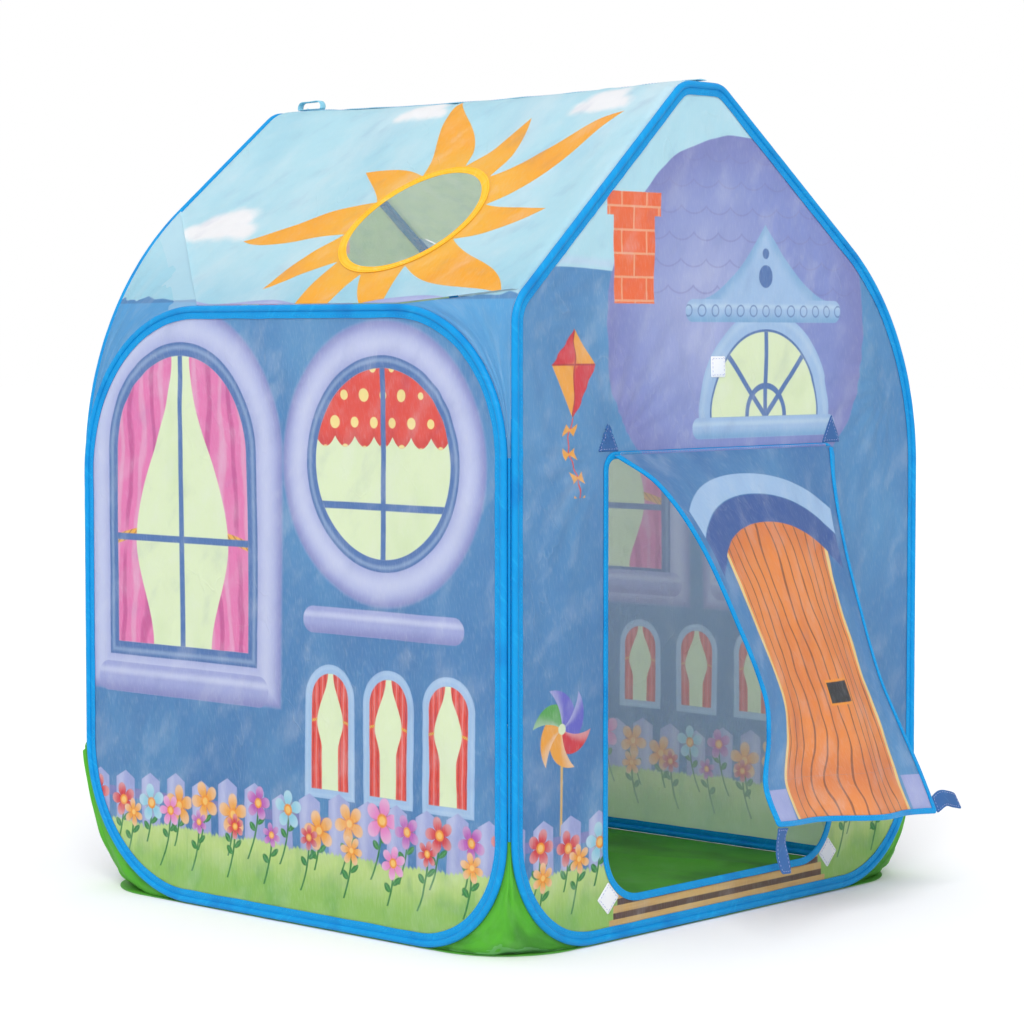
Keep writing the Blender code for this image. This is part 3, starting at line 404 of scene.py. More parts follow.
class Cut:
    """A flat cut of cloth, filled with even triangles."""

    def __init__(self, outline: Line, holes: Sequence[Line] = (),
                 pitch: float = 0.006) -> None:
        """Fills the outline.

        Args:
            outline: The cut's edge, anticlockwise.
            holes: Edges of openings in it.
            pitch: Distance between neighbouring points.
        """
        loops = [list(outline), *[list(hole) for hole in holes]]
        rim = [point for loop in loops for point in loop]
        self.rims = kdtree.KDTree(len(rim))
        for index, point in enumerate(rim):
            self.rims.insert((point.x, point.y, 0.0), index)
        self.rims.balance()
        edges = []
        start = 0
        for loop in loops:
            edges += [(start + index, start + (index + 1) % len(loop)) for index in range(len(loop))]
            start += len(loop)
        spots, _, faces, *_ = geometry.delaunay_2d_cdt(rim + self.filling(loops, pitch), edges, [], 1, 1e-7)
        self.spots = [Vector(spot[:2]) for spot in spots]
        self.edge = [self.distance(spot) for spot in self.spots]
        self.faces = []
        for face in faces:
            if max(self.edge[index] for index in face) < 1e-6:
                middle = sum((self.spots[index] for index in face), Vector((0.0, 0.0))) / len(face)
                beyond = [sum(place > middle.x for place in crossings(hole, middle.y)) for hole in loops[1:]]
                if any(count % 2 for count in beyond):
                    continue
            self.faces.append(tuple(face))

    def filling(self, loops: Sequence[Line], pitch: float) -> list[Vector]:
        """Staggered rows of points inside the loops, clear of their edges."""
        low = min(point.y for point in loops[0])
        high = max(point.y for point in loops[0])
        rows = int((high - low) / (pitch * 0.866))
        inside = []
        for row in range(1, rows + 1):
            level = low + row * pitch * 0.866
            places = sorted(place for loop in loops for place in crossings(loop, level))
            for start, end in zip(places[::2], places[1::2]):
                first = math.ceil(start / pitch - row % 2 / 2)
                last = math.floor(end / pitch - row % 2 / 2)
                for column in range(first, last + 1):
                    spot = Vector(((column + row % 2 / 2) * pitch, level))
                    if self.distance(spot) > 0.6 * pitch:
                        inside.append(spot)
        return inside

    def distance(self, spot: Vector) -> float:
        """Distance of a flat spot from the nearest edge."""
        return self.rims.find((spot[0], spot[1], 0.0))[2]

    def area(self) -> float:
        """The cut's flat area in square metres."""
        return sum(geometry.area_tri(*(self.spots[index] for index in face)) for face in self.faces)

    def extent(self) -> tuple[float, float]:
        """Width and length of the smallest upright cloth from which the cut comes."""
        across = [spot.x for spot in self.spots]
        up = [spot.y for spot in self.spots]
        return max(across) - min(across), max(up) - min(up)


@dataclass(frozen=True)
class Side:
    """A flat side of the tent, with the way its print runs."""

    origin: Vector
    right: Vector
    way: int

    @property
    def out(self) -> Vector:
        """The direction away from the tent's inside."""
        return self.right.cross(UPRIGHT)

    def spot(self, across: float, up: float, lift: float = 0.0) -> Vector:
        """The point at a flat place, lifted out of the side's plane."""
        return self.origin + self.right * across + UPRIGHT * up + self.out * lift

    def flat(self, points: Line) -> list[Vector]:
        """Outline points in the side's own places, anticlockwise seen from outside."""
        if self.way > 0:
            return list(points)
        return [Vector((-point.x, point.y)) for point in reversed(points)]


FRONT = Side(Vector((0.0, -GABLE_PLANE, 0.0)), Vector((1.0, 0.0, 0.0)), 1)
REAR = Side(Vector((0.0, GABLE_PLANE, 0.0)), Vector((-1.0, 0.0, 0.0)), -1)
LEFT = Side(Vector((-WALL_PLANE, 0.0, 0.0)), Vector((0.0, -1.0, 0.0)), -1)
RIGHT = Side(Vector((WALL_PLANE, 0.0, 0.0)), Vector((0.0, 1.0, 0.0)), 1)


@dataclass(frozen=True)
class Drape:
    """How a held cloth stands off its flat cut: swelling, folds, creases and pulls from its corners."""

    swell: float = 0.0035
    fold: float = 0.0020
    crease: float = 0.0007
    lean: float = 0.25
    seed: float = 0.0
    pulls: tuple[tuple[float, float], ...] = ()

    def lift(self, across: float, up: float, edge: float) -> float:
        """Height of the cloth at a flat place.

        Args:
            across: Place across.
            up: Place up.
            edge: Distance from the nearest edge.

        Returns:
            The lift in metres.
        """
        held = ease(edge, 0.004, 0.050)
        broad = ripple(across * 4.6, up * 3.1, self.seed)
        along = across * math.cos(self.lean) + up * math.sin(self.lean)
        beside = up * math.cos(self.lean) - across * math.sin(self.lean)
        bend = 1.4 * ripple(across * 2.0, up * 2.0, self.seed + 5.0)
        folds = ripple(along * 15.0 + bend, beside * 3.2, self.seed + 1.0)
        fine = ripple(across * 46.0, up * 30.0 + bend * 6.0, self.seed + 2.0)
        patchy = ease(ripple(across * 6.0, up * 6.0, self.seed + 3.0), -0.35, 0.5)
        lift = self.swell * broad * ease(edge, 0.004, 0.140)
        lift += self.fold * folds * held + self.crease * fine * patchy * ease(edge, 0.002, 0.02)
        for place, height in self.pulls:
            reach = math.hypot(across - place, up - height)
            bearing = math.atan2(up - height, across - place)
            streak = math.sin(bearing * 21.0 + 3.0 * ripple(reach * 6.0, bearing, self.seed + 4.0))
            lift += 0.5 * self.fold * streak * math.exp(-reach / 0.13) * held
        return lift


class Panel:
    """A printed cloth held flat in a hoop."""

    def __init__(self, side: Side, outline: Line, holes: Sequence[Line],
                 drape: Drape) -> None:
        """Cuts the cloth."""
        self.side = side
        self.drape = drape
        self.cut = Cut(outline, holes)

    def surface(self, across: float, up: float, lift: float) -> Vector:
        """The point of the hung cloth at a flat place, lifted a little more."""
        edge = self.cut.distance((across, up))
        return self.side.spot(across, up, self.drape.lift(across, up, edge) + lift)


# ---------------------------------------------------------------- tapes and stitches

def folded_tape(face: float, tube: float = 0.0) -> Callable[[float], Ring]:
    """Section of a tape folded over an edge, wavy and puckered along its run.

    Args:
        face: Width of each of its two legs.
        tube: Radius of the tube in its fold, for tape with a wire in it.

    Returns:
        A function from the distance along the tape to pairs of inward distance and lift.
    """
    leg = 0.0013
    hidden = 0.0006
    steps = 6

    def section(along: float) -> Ring:
        """The closed section at one place along the tape."""
        ring = []
        for way in (1.0, -1.0):
            rows = []
            for step in range(steps + 1):
                share = step / steps
                start = tube * 1.9 if tube else 0.0012
                inner = face + 0.0007 * ripple(along * 24.0, way, 3.0) * min(face / 0.02, 1.0)
                distance = start + (inner - start) * share
                pucker = 0.00075 * ripple(along * 78.0 + distance * way * 150.0, distance * 60.0, way)
                swell = 0.0004 * math.sin(math.pi * share) - 0.0003 * math.exp(-((share - 0.80) / 0.07) ** 2)
                room = ease(share, 0.0, 0.3) * min(face / 0.02, 1.0)
                rows.append((distance, way * max(leg + swell + pucker * room, hidden + 0.0002)))
            rows.append((rows[-1][0], way * hidden))
            rows.append((tube * 1.7 + 0.0008, way * hidden))
            ring.append(rows)
        if tube:
            wobble = tube * (1.0 + 0.035 * ripple(along * 60.0, 0.0, 7.0))
            opening = math.radians(24.0)
            fold = []
            for step in range(13):
                angle = opening + (2 * math.pi - 2 * opening) * step / 12
                fold.append((tube + wobble * math.cos(angle), wobble * math.sin(angle)))
        else:
            fold = [(0.0003, leg), (-0.0003, leg * 0.5), (-0.0003, -leg * 0.5), (0.0003, -leg)]
        upper, lower = ring
        visible = upper[:-2]
        below = lower[:-2]
        return [*reversed(visible), *fold, *below, *lower[-2:], *reversed(upper[-2:])]

    return section


def taped(line: Line, section: Callable[[float], Ring], surface: Surface,
          closed: bool = True, side: int = 1) -> tuple[Form, float]:
    """A tape along a flat line, laid on a surface.

    Args:
        line: The line's points, anticlockwise.
        section: The tape's section by the distance along it.
        surface: Gives the point for a flat place and a lift.
        closed: Whether the line closes.
        side: 1 for a tape inside the line, -1 for one outside.

    Returns:
        The form and the tape's length.
    """
    rings = []
    flats = []
    along = 0.0
    total = sum((line[index] - line[index - 1]).length for index in range(0 if closed else 1, len(line)))
    for index, (point, miter) in enumerate(zip(line, inward(line, closed))):
        along += (point - line[index - 1]).length if index else 0.0
        near_end = ease(along, 0.0, 0.03) * ease(total - along, 0.0, 0.03) if closed else 1.0
        ring = section(along)
        if closed and near_end < 1.0:
            start = section(0.0)
            ring = [(there[0] + (here[0] - there[0]) * near_end, there[1] + (here[1] - there[1]) * near_end)
                    for here, there in zip(ring, start)]
        spots = [point + miter * (inwards * side) for inwards, _ in ring]
        rings.append([surface(spot.x, spot.y, lift) for spot, (_, lift) in zip(spots, ring)])
        travel = 0.0
        flat = []
        for step, place in enumerate(ring):
            if step:
                travel += math.dist(place, ring[step - 1])
            flat.append((along, travel))
        flats.append(flat)
    form = Form()
    form.skin(rings, flats, closed)
    return form, total


class Sewing:
    """Rows of stitches, gathered while the pieces are built and then sewn with one node tree."""

    def __init__(self) -> None:
        """Starts with no rows and builds the tree."""
        self.rows: dict[tuple[str, str], list[tuple[list[Vector], list[Vector], bool]]] = {}
        self.tree = self.stitch_tree()

    def add(self, body: str, thread: str, points: list[Vector], out: list[Vector],
            closed: bool = False) -> None:
        """Notes a row of stitches on a body, with the direction out of the cloth at each point."""
        self.rows.setdefault((body, thread), []).append((points, out, closed))

    def along(self, body: str, thread: str, line: Line, surface: Surface, lift: float,
              closed: bool = False) -> None:
        """Notes a row of stitches along a flat line on a surface, on the side of the lift's sign."""
        points = [surface(spot.x, spot.y, lift) for spot in line]
        step = math.copysign(0.001, lift)
        out = [(surface(spot.x, spot.y, lift + step) - point).normalized() for spot, point in zip(line, points)]
        self.add(body, thread, points, out, closed)

    def through(self, body: str, line: Line, surface: Surface, closed: bool = True) -> None:
        """Notes a row in the tapes' own thread on both sides of a cloth."""
        for lift in (STITCH_LIFT, -STITCH_LIFT):
            self.along(body, "azure", line, surface, lift, closed)

    @staticmethod
    def stitch_tree() -> Tree:
        """A tree that sets stitches along every line of a mesh, at an even pitch."""
        tree = bpy.data.node_groups.new("stitch_rows", "GeometryNodeTree")
        face = tree.interface
        face.new_socket("Rows", in_out="INPUT", socket_type="NodeSocketGeometry")
        for name, kind, value in (
            ("Pitch", "NodeSocketFloat", 0.0046),
            ("Stitch Length", "NodeSocketFloat", 0.0034),
            ("Thread Width", "NodeSocketFloat", 0.0007),
            ("Unevenness", "NodeSocketFloat", 0.09),
            ("Seed", "NodeSocketInt", 11),
        ):
            face.new_socket(name, in_out="INPUT", socket_type=kind).default_value = value
        face.new_socket("Thread", in_out="INPUT", socket_type="NodeSocketMaterial")
        face.new_socket("Stitches", in_out="OUTPUT", socket_type="NodeSocketGeometry")
        given = added(tree, "NodeGroupInput").outputs
        width = given["Thread Width"]
        lines = added(tree, "GeometryNodeMeshToCurve", {"Mesh": given["Rows"]})
        spaced = added(tree, "GeometryNodeResampleCurve", {"Curve": lines, "Length": given["Pitch"]},
                       mode="LENGTH")
        bead = added(tree, "GeometryNodeMeshIcoSphere", {"Radius": 0.5, "Subdivisions": 1})
        size = added(tree, "ShaderNodeCombineXYZ", {0: given["Stitch Length"], 1: width, 2: width})
        outward = added(tree, "GeometryNodeInputNamedAttribute", {"Name": "outward"}, data_type="FLOAT_VECTOR")
        tangent = added(tree, "GeometryNodeInputTangent")
        axes = {"Primary Axis": outward.outputs["Attribute"], "Secondary Axis": tangent}
        aim = added(tree, "FunctionNodeAxesToRotation", axes, primary_axis="Z", secondary_axis="X")
        most = given["Unevenness"]
        least = added(tree, "ShaderNodeMath", {0: most, 1: -1.0}, operation="MULTIPLY")
        slip = added(tree, "FunctionNodeRandomValue", {2: least, 3: most, "Seed": given["Seed"]},
                     data_type="FLOAT")
        skew = added(tree, "FunctionNodeAxisAngleToRotation", {"Angle": slip.outputs[1]})
        both = added(tree, "FunctionNodeRotateRotation", {"Rotation": aim, "Rotate By": skew},
                     rotation_space="LOCAL")
        placed = added(tree, "GeometryNodeInstanceOnPoints",
                       {"Points": spaced, "Instance": bead, "Rotation": both, "Scale": size})
        real = added(tree, "GeometryNodeRealizeInstances", {0: placed})
        thread = added(tree, "GeometryNodeSetMaterial", {"Geometry": real, "Material": given["Thread"]})
        added(tree, "NodeGroupOutput", {0: thread})
        return tree

    def sewn(self, body: str, thread: str, material: Material) -> Object:
        """Sews all rows of one thread on one body.

        Args:
            body: The CAD body.
            thread: The thread's name.
            material: The thread's finish.

        Returns:
            A plain mesh object with the stitches.
        """
        points: list[Vector] = []
        out: list[Vector] = []
        edges: list[tuple[int, int]] = []
        for row, aims, closed in self.rows[(body, thread)]:
            start = len(points)
            points += row
            out += aims
            edges += [(start + index, start + index + 1) for index in range(len(row) - 1)]
            if closed:
                edges.append((start + len(row) - 1, start))
        name = f"{body}_{thread}_stitches"
        mesh = bpy.data.meshes.new(name + "_rows")
        mesh.from_pydata(points, edges, [])
        attribute = mesh.attributes.new("outward", "FLOAT_VECTOR", "POINT")
        attribute.data.foreach_set("vector", np.array(out, np.float32).ravel())
        rows = linked(name + "_rows", mesh)
        modifier = rows.modifiers.new("Stitches", "NODES")
        modifier.node_group = self.tree
        given = {"Thread": material, "Seed": 11 + len(name)}
        for item in self.tree.interface.items_tree:
            if item.name in given:
                modifier[item.identifier] = given[item.name]
        shape = bpy.data.meshes.new_from_object(rows.evaluated_get(bpy.context.evaluated_depsgraph_get()))
        shape.name = name
        bpy.data.objects.remove(rows)
        bpy.data.meshes.remove(mesh)
        shape.polygons.foreach_set("use_smooth", [True] * len(shape.polygons))
        if not shape.materials:
            shape.materials.append(material)
        return linked(name, shape)


# ---------------------------------------------------------------- finishes

def ink(red: float, green: float, blue: float) -> tuple[float, float, float, float]:
    """A printed colour, given as it is seen on a screen from 0 to 255, as a linear one."""
    shares = [level / 255.0 for level in (red, green, blue)]
    linear = [share / 12.92 if share <= 0.04045 else ((share + 0.055) / 1.055) ** 2.4 for share in shares]
    return linear[0], linear[1], linear[2], 1.0


class Ink(Enum):
    """The inks of the tent's prints, tapes and threads."""

    WALL = ink(86, 146, 198)
    WALL_LIGHT = ink(112, 172, 214)
    WALL_DEEP = ink(62, 110, 172)
    LILAC = ink(172, 178, 224)
    LILAC_LIGHT = ink(212, 216, 242)
    LILAC_DEEP = ink(132, 132, 192)
    DOME = ink(140, 152, 212)
    RING = ink(86, 124, 184)
    FRAME = ink(172, 202, 235)
    FRAME_LIGHT = ink(200, 222, 242)
    PANE = ink(234, 244, 204)
    PANE_DEEP = ink(205, 226, 168)
    PINK = ink(240, 128, 186)
    PINK_DEEP = ink(204, 78, 150)
    RED = ink(238, 76, 56)
    RED_DEEP = ink(196, 44, 44)
    DOT = ink(255, 232, 150)
    ROPE = ink(250, 186, 62)
    SKY = ink(192, 231, 241)
    SKY_DEEP = ink(150, 208, 228)
    CLOUD = ink(250, 248, 248)
    SUN = ink(255, 184, 10)
    SUN_DEEP = ink(252, 158, 16)
    BRICK = ink(252, 114, 32)
    MORTAR = ink(252, 176, 130)
    GRASS = ink(158, 204, 98)
    GRASS_LIGHT = ink(202, 224, 138)
    LEAF = ink(48, 138, 62)
    LEAF_LIGHT = ink(96, 176, 84)
    MAGENTA = ink(198, 84, 190)
    VIOLET = ink(112, 108, 208)
    ROSE = ink(240, 140, 205)
    SCARLET = ink(224, 48, 58)
    MARIGOLD = ink(250, 176, 60)
    POLLEN = ink(255, 206, 110)
    WOOD = ink(246, 150, 66)
    WOOD_DEEP = ink(224, 120, 52)
    GRAIN = ink(150, 84, 48)
    WOOD_EDGE = ink(250, 216, 140)
    STEP = ink(226, 186, 116)
    STEP_DEEP = ink(100, 66, 50)
    NAVY = ink(62, 96, 166)
    SLOT = ink(44, 34, 34)
    WHITE = ink(244, 245, 248)
    AZURE = ink(0, 156, 224)
    AZURE_LIGHT = ink(30, 184, 240)
    AZURE_DEEP = ink(0, 116, 198)
    AQUA = ink(150, 212, 232)
    PLAIN_BLUE = ink(92, 172, 224)
    TAB_BLUE = ink(60, 106, 166)
    FLOOR = ink(92, 188, 46)
    # Painted shade for the green cloth's folds.
    FLOOR_FOLD_SHADE = ink(44, 116, 32)
    YELLOW = ink(255, 204, 54)
    NET = ink(236, 243, 236)
    INSIDE = ink(200, 226, 238)


Tint = "Ink | Socket"
Value = "float | Field | Tint | Node"


def feed(tree: Tree, value: Value, target: Socket) -> None:
    """Links a field, a socket or a node's first output to an input, or writes a plain value there."""
    if isinstance(value, Field):
        value = value.socket
    elif isinstance(value, Node):
        value = value.outputs[0]
    if isinstance(value, Socket):
        tree.links.new(value, target)
    else:
        target.default_value = value.value if isinstance(value, Ink) else value


def added(tree: Tree, kind: str, inputs: dict[int | str, Value] | None = None, **settings: str) -> Node:
    """A new node with its settings and what its inputs are fed."""
    node = tree.nodes.new(kind)
    for name, value in settings.items():
        setattr(node, name, value)
    for slot, value in (inputs or {}).items():
        feed(tree, value, node.inputs[slot])
    return node


def found(tree: Tree, kind: str, inputs: dict[int | str, Value], output: int | str = 0,
          **settings: str) -> "Field":
    """One output of a new node, as a field."""
    return Field(tree, added(tree, kind, inputs, **settings).outputs[output])


def worked(tree: Tree, operation: str, *values: "float | Field") -> "Field":
    """A math node on fields and plain numbers, in order."""
    return found(tree, "ShaderNodeMath", dict(enumerate(values)), operation=operation)


def working(operation: str) -> "Callable[..., Field]":
    """A field's method that works one math node on the field and on what is given with it."""
    return lambda self, *others: worked(self.tree, operation, self, *others)


def mixed(tree: Tree, share: "float | Field", first: Tint, second: Tint) -> Socket:
    """A colour between two others."""
    return added(tree, "ShaderNodeMix", {0: share, 6: first, 7: second}, data_type="RGBA").outputs[2]


class Field:
    """A number at every point of a cloth, held as the output of a node."""

    __add__ = working("ADD")
    __sub__ = working("SUBTRACT")
    __mul__ = working("MULTIPLY")
    __truediv__ = working("DIVIDE")
    __abs__ = working("ABSOLUTE")
    low = working("MINIMUM")
    high = working("MAXIMUM")
    sine = working("SINE")
    whole = working("FLOOR")
    power = working("POWER")

    def __init__(self, tree: Tree, socket: Socket) -> None:
        """Keeps the tree and the output."""
        self.tree = tree
        self.socket = socket

    def __rsub__(self, other: float) -> "Field":
        """A number less this one."""
        return worked(self.tree, "SUBTRACT", other, self)

    def __neg__(self) -> "Field":
        """The same with the other sign."""
        return self * -1.0

    def wrapped(self, period: float) -> "Field":
        """The rest after whole periods, from minus half a period to half."""
        return worked(self.tree, "FLOORED_MODULO", self + period / 2, period) - period / 2

    def ramp(self, low: float, high: float) -> "Field":
        """Rises smoothly from 0 at low to 1 at high, or falls where high is the lower one."""
        ends = {1: min(low, high), 2: max(low, high), 3: float(low >= high), 4: float(low < high)}
        return found(self.tree, "ShaderNodeMapRange", {0: self, **ends}, interpolation_type="SMOOTHSTEP")

    def inside(self, edge: float = 0.0007) -> "Field":
        """1 where a distance is below zero, with a short soft edge."""
        return self.ramp(edge, -edge)

    def hashed(self, seed: float) -> "Field":
        """A random number from 0 to 1 for each whole number."""
        return found(self.tree, "ShaderNodeTexWhiteNoise", {"W": self + seed}, "Value", noise_dimensions="1D")

    def pick(self, *tints: Ink) -> Socket:
        """One of several colours, by a number from 0 to 1."""
        node = added(self.tree, "ShaderNodeValToRGB", {0: self})
        node.color_ramp.interpolation = "CONSTANT"
        stops = node.color_ramp.elements
        while len(stops) < len(tints):
            stops.new(0.5)
        for index, tint in enumerate(tints):
            stops[index].position = index / len(tints)
            stops[index].color = tint.value
        return node.outputs[0]


@dataclass(frozen=True)
class Place:
    """A flat place on the cloth, in metres across and up."""

    across: Field
    up: Field

    def about(self, across: "float | Field", up: "float | Field") -> "Place":
        """The place seen from another middle."""
        return Place(self.across - across, self.up - up)

    def turned(self, angle: float) -> "Place":
        """The place on axes turned anticlockwise."""
        cosine = math.cos(angle)
        sine = math.sin(angle)
        return Place(self.across * cosine + self.up * sine, self.up * cosine - self.across * sine)

    def mirrored(self) -> "Place":
        """The place folded over onto the right half."""
        return Place(abs(self.across), self.up)

    def grown(self, across: float, up: float) -> "Place":
        """The place with both measures multiplied."""
        return Place(self.across * across, self.up * up)

    def vector(self, seed: float = 0.0) -> Socket:
        """The place as a vector."""
        return added(self.across.tree, "ShaderNodeCombineXYZ", {0: self.across, 1: self.up, 2: seed}).outputs[0]

    def reach(self) -> Field:
        """Distance from the middle."""
        return found(self.across.tree, "ShaderNodeVectorMath", {0: self.vector()}, "Value", operation="LENGTH")

    def bearing(self) -> Field:
        """Direction from the middle, as an angle."""
        return worked(self.across.tree, "ARCTAN2", self.up, self.across)

    def box(self, width: float, height: float) -> Field:
        """Distance from a box about the middle."""
        return (abs(self.across) - width / 2).high(abs(self.up) - height / 2)

    def arch(self, width: float, low: float, spring: float) -> Field:
        """Distance from an arched opening that starts at low and curves above spring."""
        return (Place(self.across, (self.up - spring).high(0.0)).reach() - width / 2).high(low - self.up)

    def repeated(self, pitch: float) -> "tuple[Place, Field]":
        """The place in its own repeat across, and the repeat's whole number."""
        index = ((self.across / pitch) + 0.5).whole()
        return Place(self.across - index * pitch, self.up), index

    def cloud(self, scale: float, seed: float, detail: float = 2.0) -> Field:
        """Soft noise from 0 to 1 at a scale in waves a metre."""
        settings = {"Vector": self.vector(seed), "Scale": scale, "Detail": detail}
        return found(self.across.tree, "ShaderNodeTexNoise", settings, "Fac")


class Print:
    """The printed colour of a cloth, laid down one layer after the other."""

    def __init__(self, tree: Tree, ground: Tint) -> None:
        """Starts from the ground colour."""
        self.tree = tree
        self.colour = ground

    def lay(self, mask: "Field | float", tint: Tint) -> None:
        """Prints a colour where the mask is 1."""
        self.colour = mixed(self.tree, mask, self.colour, tint)


Painter = Callable[[Print, Place], None]


def motif(paint: Callable[..., None]) -> Callable[..., Painter]:
    """Turns a way to print about a place into a maker of motifs that takes the sizes alone."""
    return lambda *sizes, **named: lambda cloth, place: paint(cloth, place, *sizes, **named)


@motif
def ground(cloth: Print, place: Place, light: Ink, deep: Ink, top: float = 0.7, seed: float = 1.0) -> None:
    """A brushed ground that is deeper towards its foot."""
    cloth.lay(place.up.ramp(top, 0.0) * 0.55, deep)
    cloth.lay(place.grown(1.0, 0.45).cloud(9.0, seed, 4.0).ramp(0.42, 0.72) * 0.42, light)
    cloth.lay(place.grown(1.6, 0.7).cloud(6.0, seed + 4.0).ramp(0.5, 0.75) * 0.30, deep)


def opening(place: Place, width: float, low: float, spring: float) -> Field:
    """Distance from an opening that is arched over spring, or round where low is left out."""
    return place.reach() - width / 2 if low < -9.0 else place.arch(width, low, spring)


def curtains(cloth: Print, place: Place, pane: Field, half: float, low: float, top: float, tint: Ink,
             folds: Ink) -> None:
    """Prints a pair of curtains that are tied back, with their folds and ropes."""
    tie = low + (top - low) * 0.36
    near = place.mirrored()
    edge = place.up.ramp(low, tie) * (half * 0.26) + half * 0.44 - place.up.ramp(tie, top) * (half * 0.56)
    cover = (edge - near.across).inside() * pane
    cloth.lay(cover, tint)
    bend = place.grown(1.0, 0.35).cloud(20.0, 6.0) * 7.0
    strands = (near.across * (2 * math.pi / (half * 0.34)) + bend + near.up * 9.0).sine()
    cloth.lay(strands.ramp(0.55, 0.98) * cover * abs(place.up - tie).ramp(0.0, half * 0.25) * 0.75, folds)
    cloth.lay(strands.ramp(-0.6, -1.0) * cover * 0.22, Ink.WHITE)
    cord = abs(place.up - tie + (near.across - half) * 0.28 + (near.across - half).power(2.0) * 1.2)
    cord = (cord - half * 0.05).inside() * cover
    cloth.lay(cord, Ink.ROPE)
    twist = ((near.across + place.up) * (2 * math.pi / (half * 0.085))).sine()
    cloth.lay(twist.ramp(0.3, 0.9) * cord * 0.6, Ink.GRAIN)


def dotted_blind(cloth: Print, place: Place, pane: Field, step: float, foot: float, tint: Ink) -> None:
    """Prints a dotted blind with a scalloped lower edge."""
    local, _ = place.repeated(step)
    hem = local.across * local.across * (1.6 / step) + (foot - 0.004)
    cover = (hem - place.up).inside() * pane
    cloth.lay(cover, tint)
    cloth.lay((place.up - hem).ramp(0.016, 0.0) * cover * 0.35, Ink.RED_DEEP)
    row = (place.up / step).whole()
    dot, column = Place(place.across + (row.wrapped(2.0) * (step / 2)), place.up).repeated(step)
    size = (column + row * 7.0).hashed(2.0) * (step * 0.12) + step * 0.13
    spot = Place(dot.across, place.up - (row + 0.5) * step).reach() - size
    cloth.lay(spot.inside() * cover, Ink.DOT)


@motif
def halo(cloth: Print, place: Place, width: float, low: float, spring: float, spread: float = 0.05) -> None:
    """A soft rounded border round a window."""
    away = opening(place, width, low, spring)
    cloth.lay(away.ramp(spread + 0.004, spread - 0.004), Ink.LILAC)
    cloth.lay(abs(away - spread).ramp(0.014, 0.0) * 0.55 * away.ramp(spread + 0.002, spread - 0.002),
              Ink.LILAC_DEEP)
    cloth.lay(abs(away - spread * 0.55).ramp(spread * 0.42, 0.0) * 0.85, Ink.LILAC_LIGHT)


@motif
def window(cloth: Print, place: Place, width: float, frame: float, low: float = -10.0, spring: float = 0.0,
           ring: Ink = Ink.RING, curtain: Ink | None = None, folds: Ink = Ink.PINK_DEEP,
           blind: float | None = None, bars: float = 0.0) -> None:
    """A window: its pane, what hangs in it, its bars and the frame, from the back forward."""
    away = opening(place, width, low, spring)
    pane = away.inside()
    cloth.lay(pane, Ink.PANE)
    cloth.lay(pane * place.grown(1.0, 0.4).cloud(16.0, 3.0).ramp(0.5, 0.8) * 0.35, Ink.PANE_DEEP)
    base = max(low, -width / 2)
    if curtain:
        curtains(cloth, place, pane, width / 2, base, spring + width / 2, curtain, folds)
    if blind is not None:
        dotted_blind(cloth, place, pane, width / 7, blind, curtain or Ink.RED)
    if bars:
        bar = abs(place.up - (spring * 0.55 + base * 0.45)) - bars / 2
        cloth.lay(bar.low(abs(place.across) - bars / 2).inside() * pane, ring)
    cloth.lay((abs(away - frame / 2) - frame / 2).inside(), ring)
    cloth.lay(abs(away - frame * 0.62).ramp(frame * 0.3, 0.0) * 0.35, Ink.FRAME_LIGHT)


@motif
def ledge(cloth: Print, place: Place, width: float, height: float, tint: Ink = Ink.LILAC,
          light: Ink = Ink.LILAC_LIGHT, shade: Ink = Ink.LILAC_DEEP, studs: bool = False) -> None:
    """A rounded sill or cornice with a light upper side."""
    bar = Place((abs(place.across) - (width - height) / 2).high(0.0), place.up)
    body = (bar.reach() - height / 2).inside()
    cloth.lay(body, tint)
    cloth.lay(place.up.ramp(0.0, -height * 0.5) * body * 0.7, shade)
    cloth.lay(abs(place.up - height * 0.2).ramp(height * 0.2, 0.0) * body * 0.8, light)
    if studs:
        stud, _ = place.repeated(height * 0.9)
        ring = abs(stud.reach() - height * 0.24) - 0.0009
        cloth.lay(ring.inside() * body * 0.8, Ink.RING)


@motif
def row(cloth: Print, place: Place, one: Painter, count: int, pitch: float) -> None:
    """The same motif several times side by side."""
    index = ((place.across / pitch) + count % 2 / 2).whole()
    index = index.high(-(count // 2)).low((count - 1) // 2)
    middle = index + (0.5 - count % 2 / 2)
    one(cloth, Place(place.across - middle * pitch, place.up))


@motif
def fence(cloth: Print, place: Place, top: float, pitch: float = 0.046, picket: float = 0.033) -> None:
    """A picket fence with pointed tops and two rails."""
    local, index = place.repeated(pitch)
    lean = index.hashed(4.0) * 0.010
    for level in (0.34, 0.78):
        rail = abs(place.up - top * level) - 0.006
        cloth.lay(rail.inside(), Ink.LILAC_DEEP)
    point = local.up + abs(local.across) * 0.55 - top - lean
    slat = (abs(local.across) - picket / 2).high(point).inside()
    cloth.lay(slat, Ink.LILAC)
    cloth.lay(abs(local.across + picket * 0.25).ramp(picket * 0.3, 0.0) * slat * 0.5, Ink.LILAC_LIGHT)
    cloth.lay(place.up.ramp(top * 0.9, 0.0) * slat * 0.35, Ink.LILAC_DEEP)


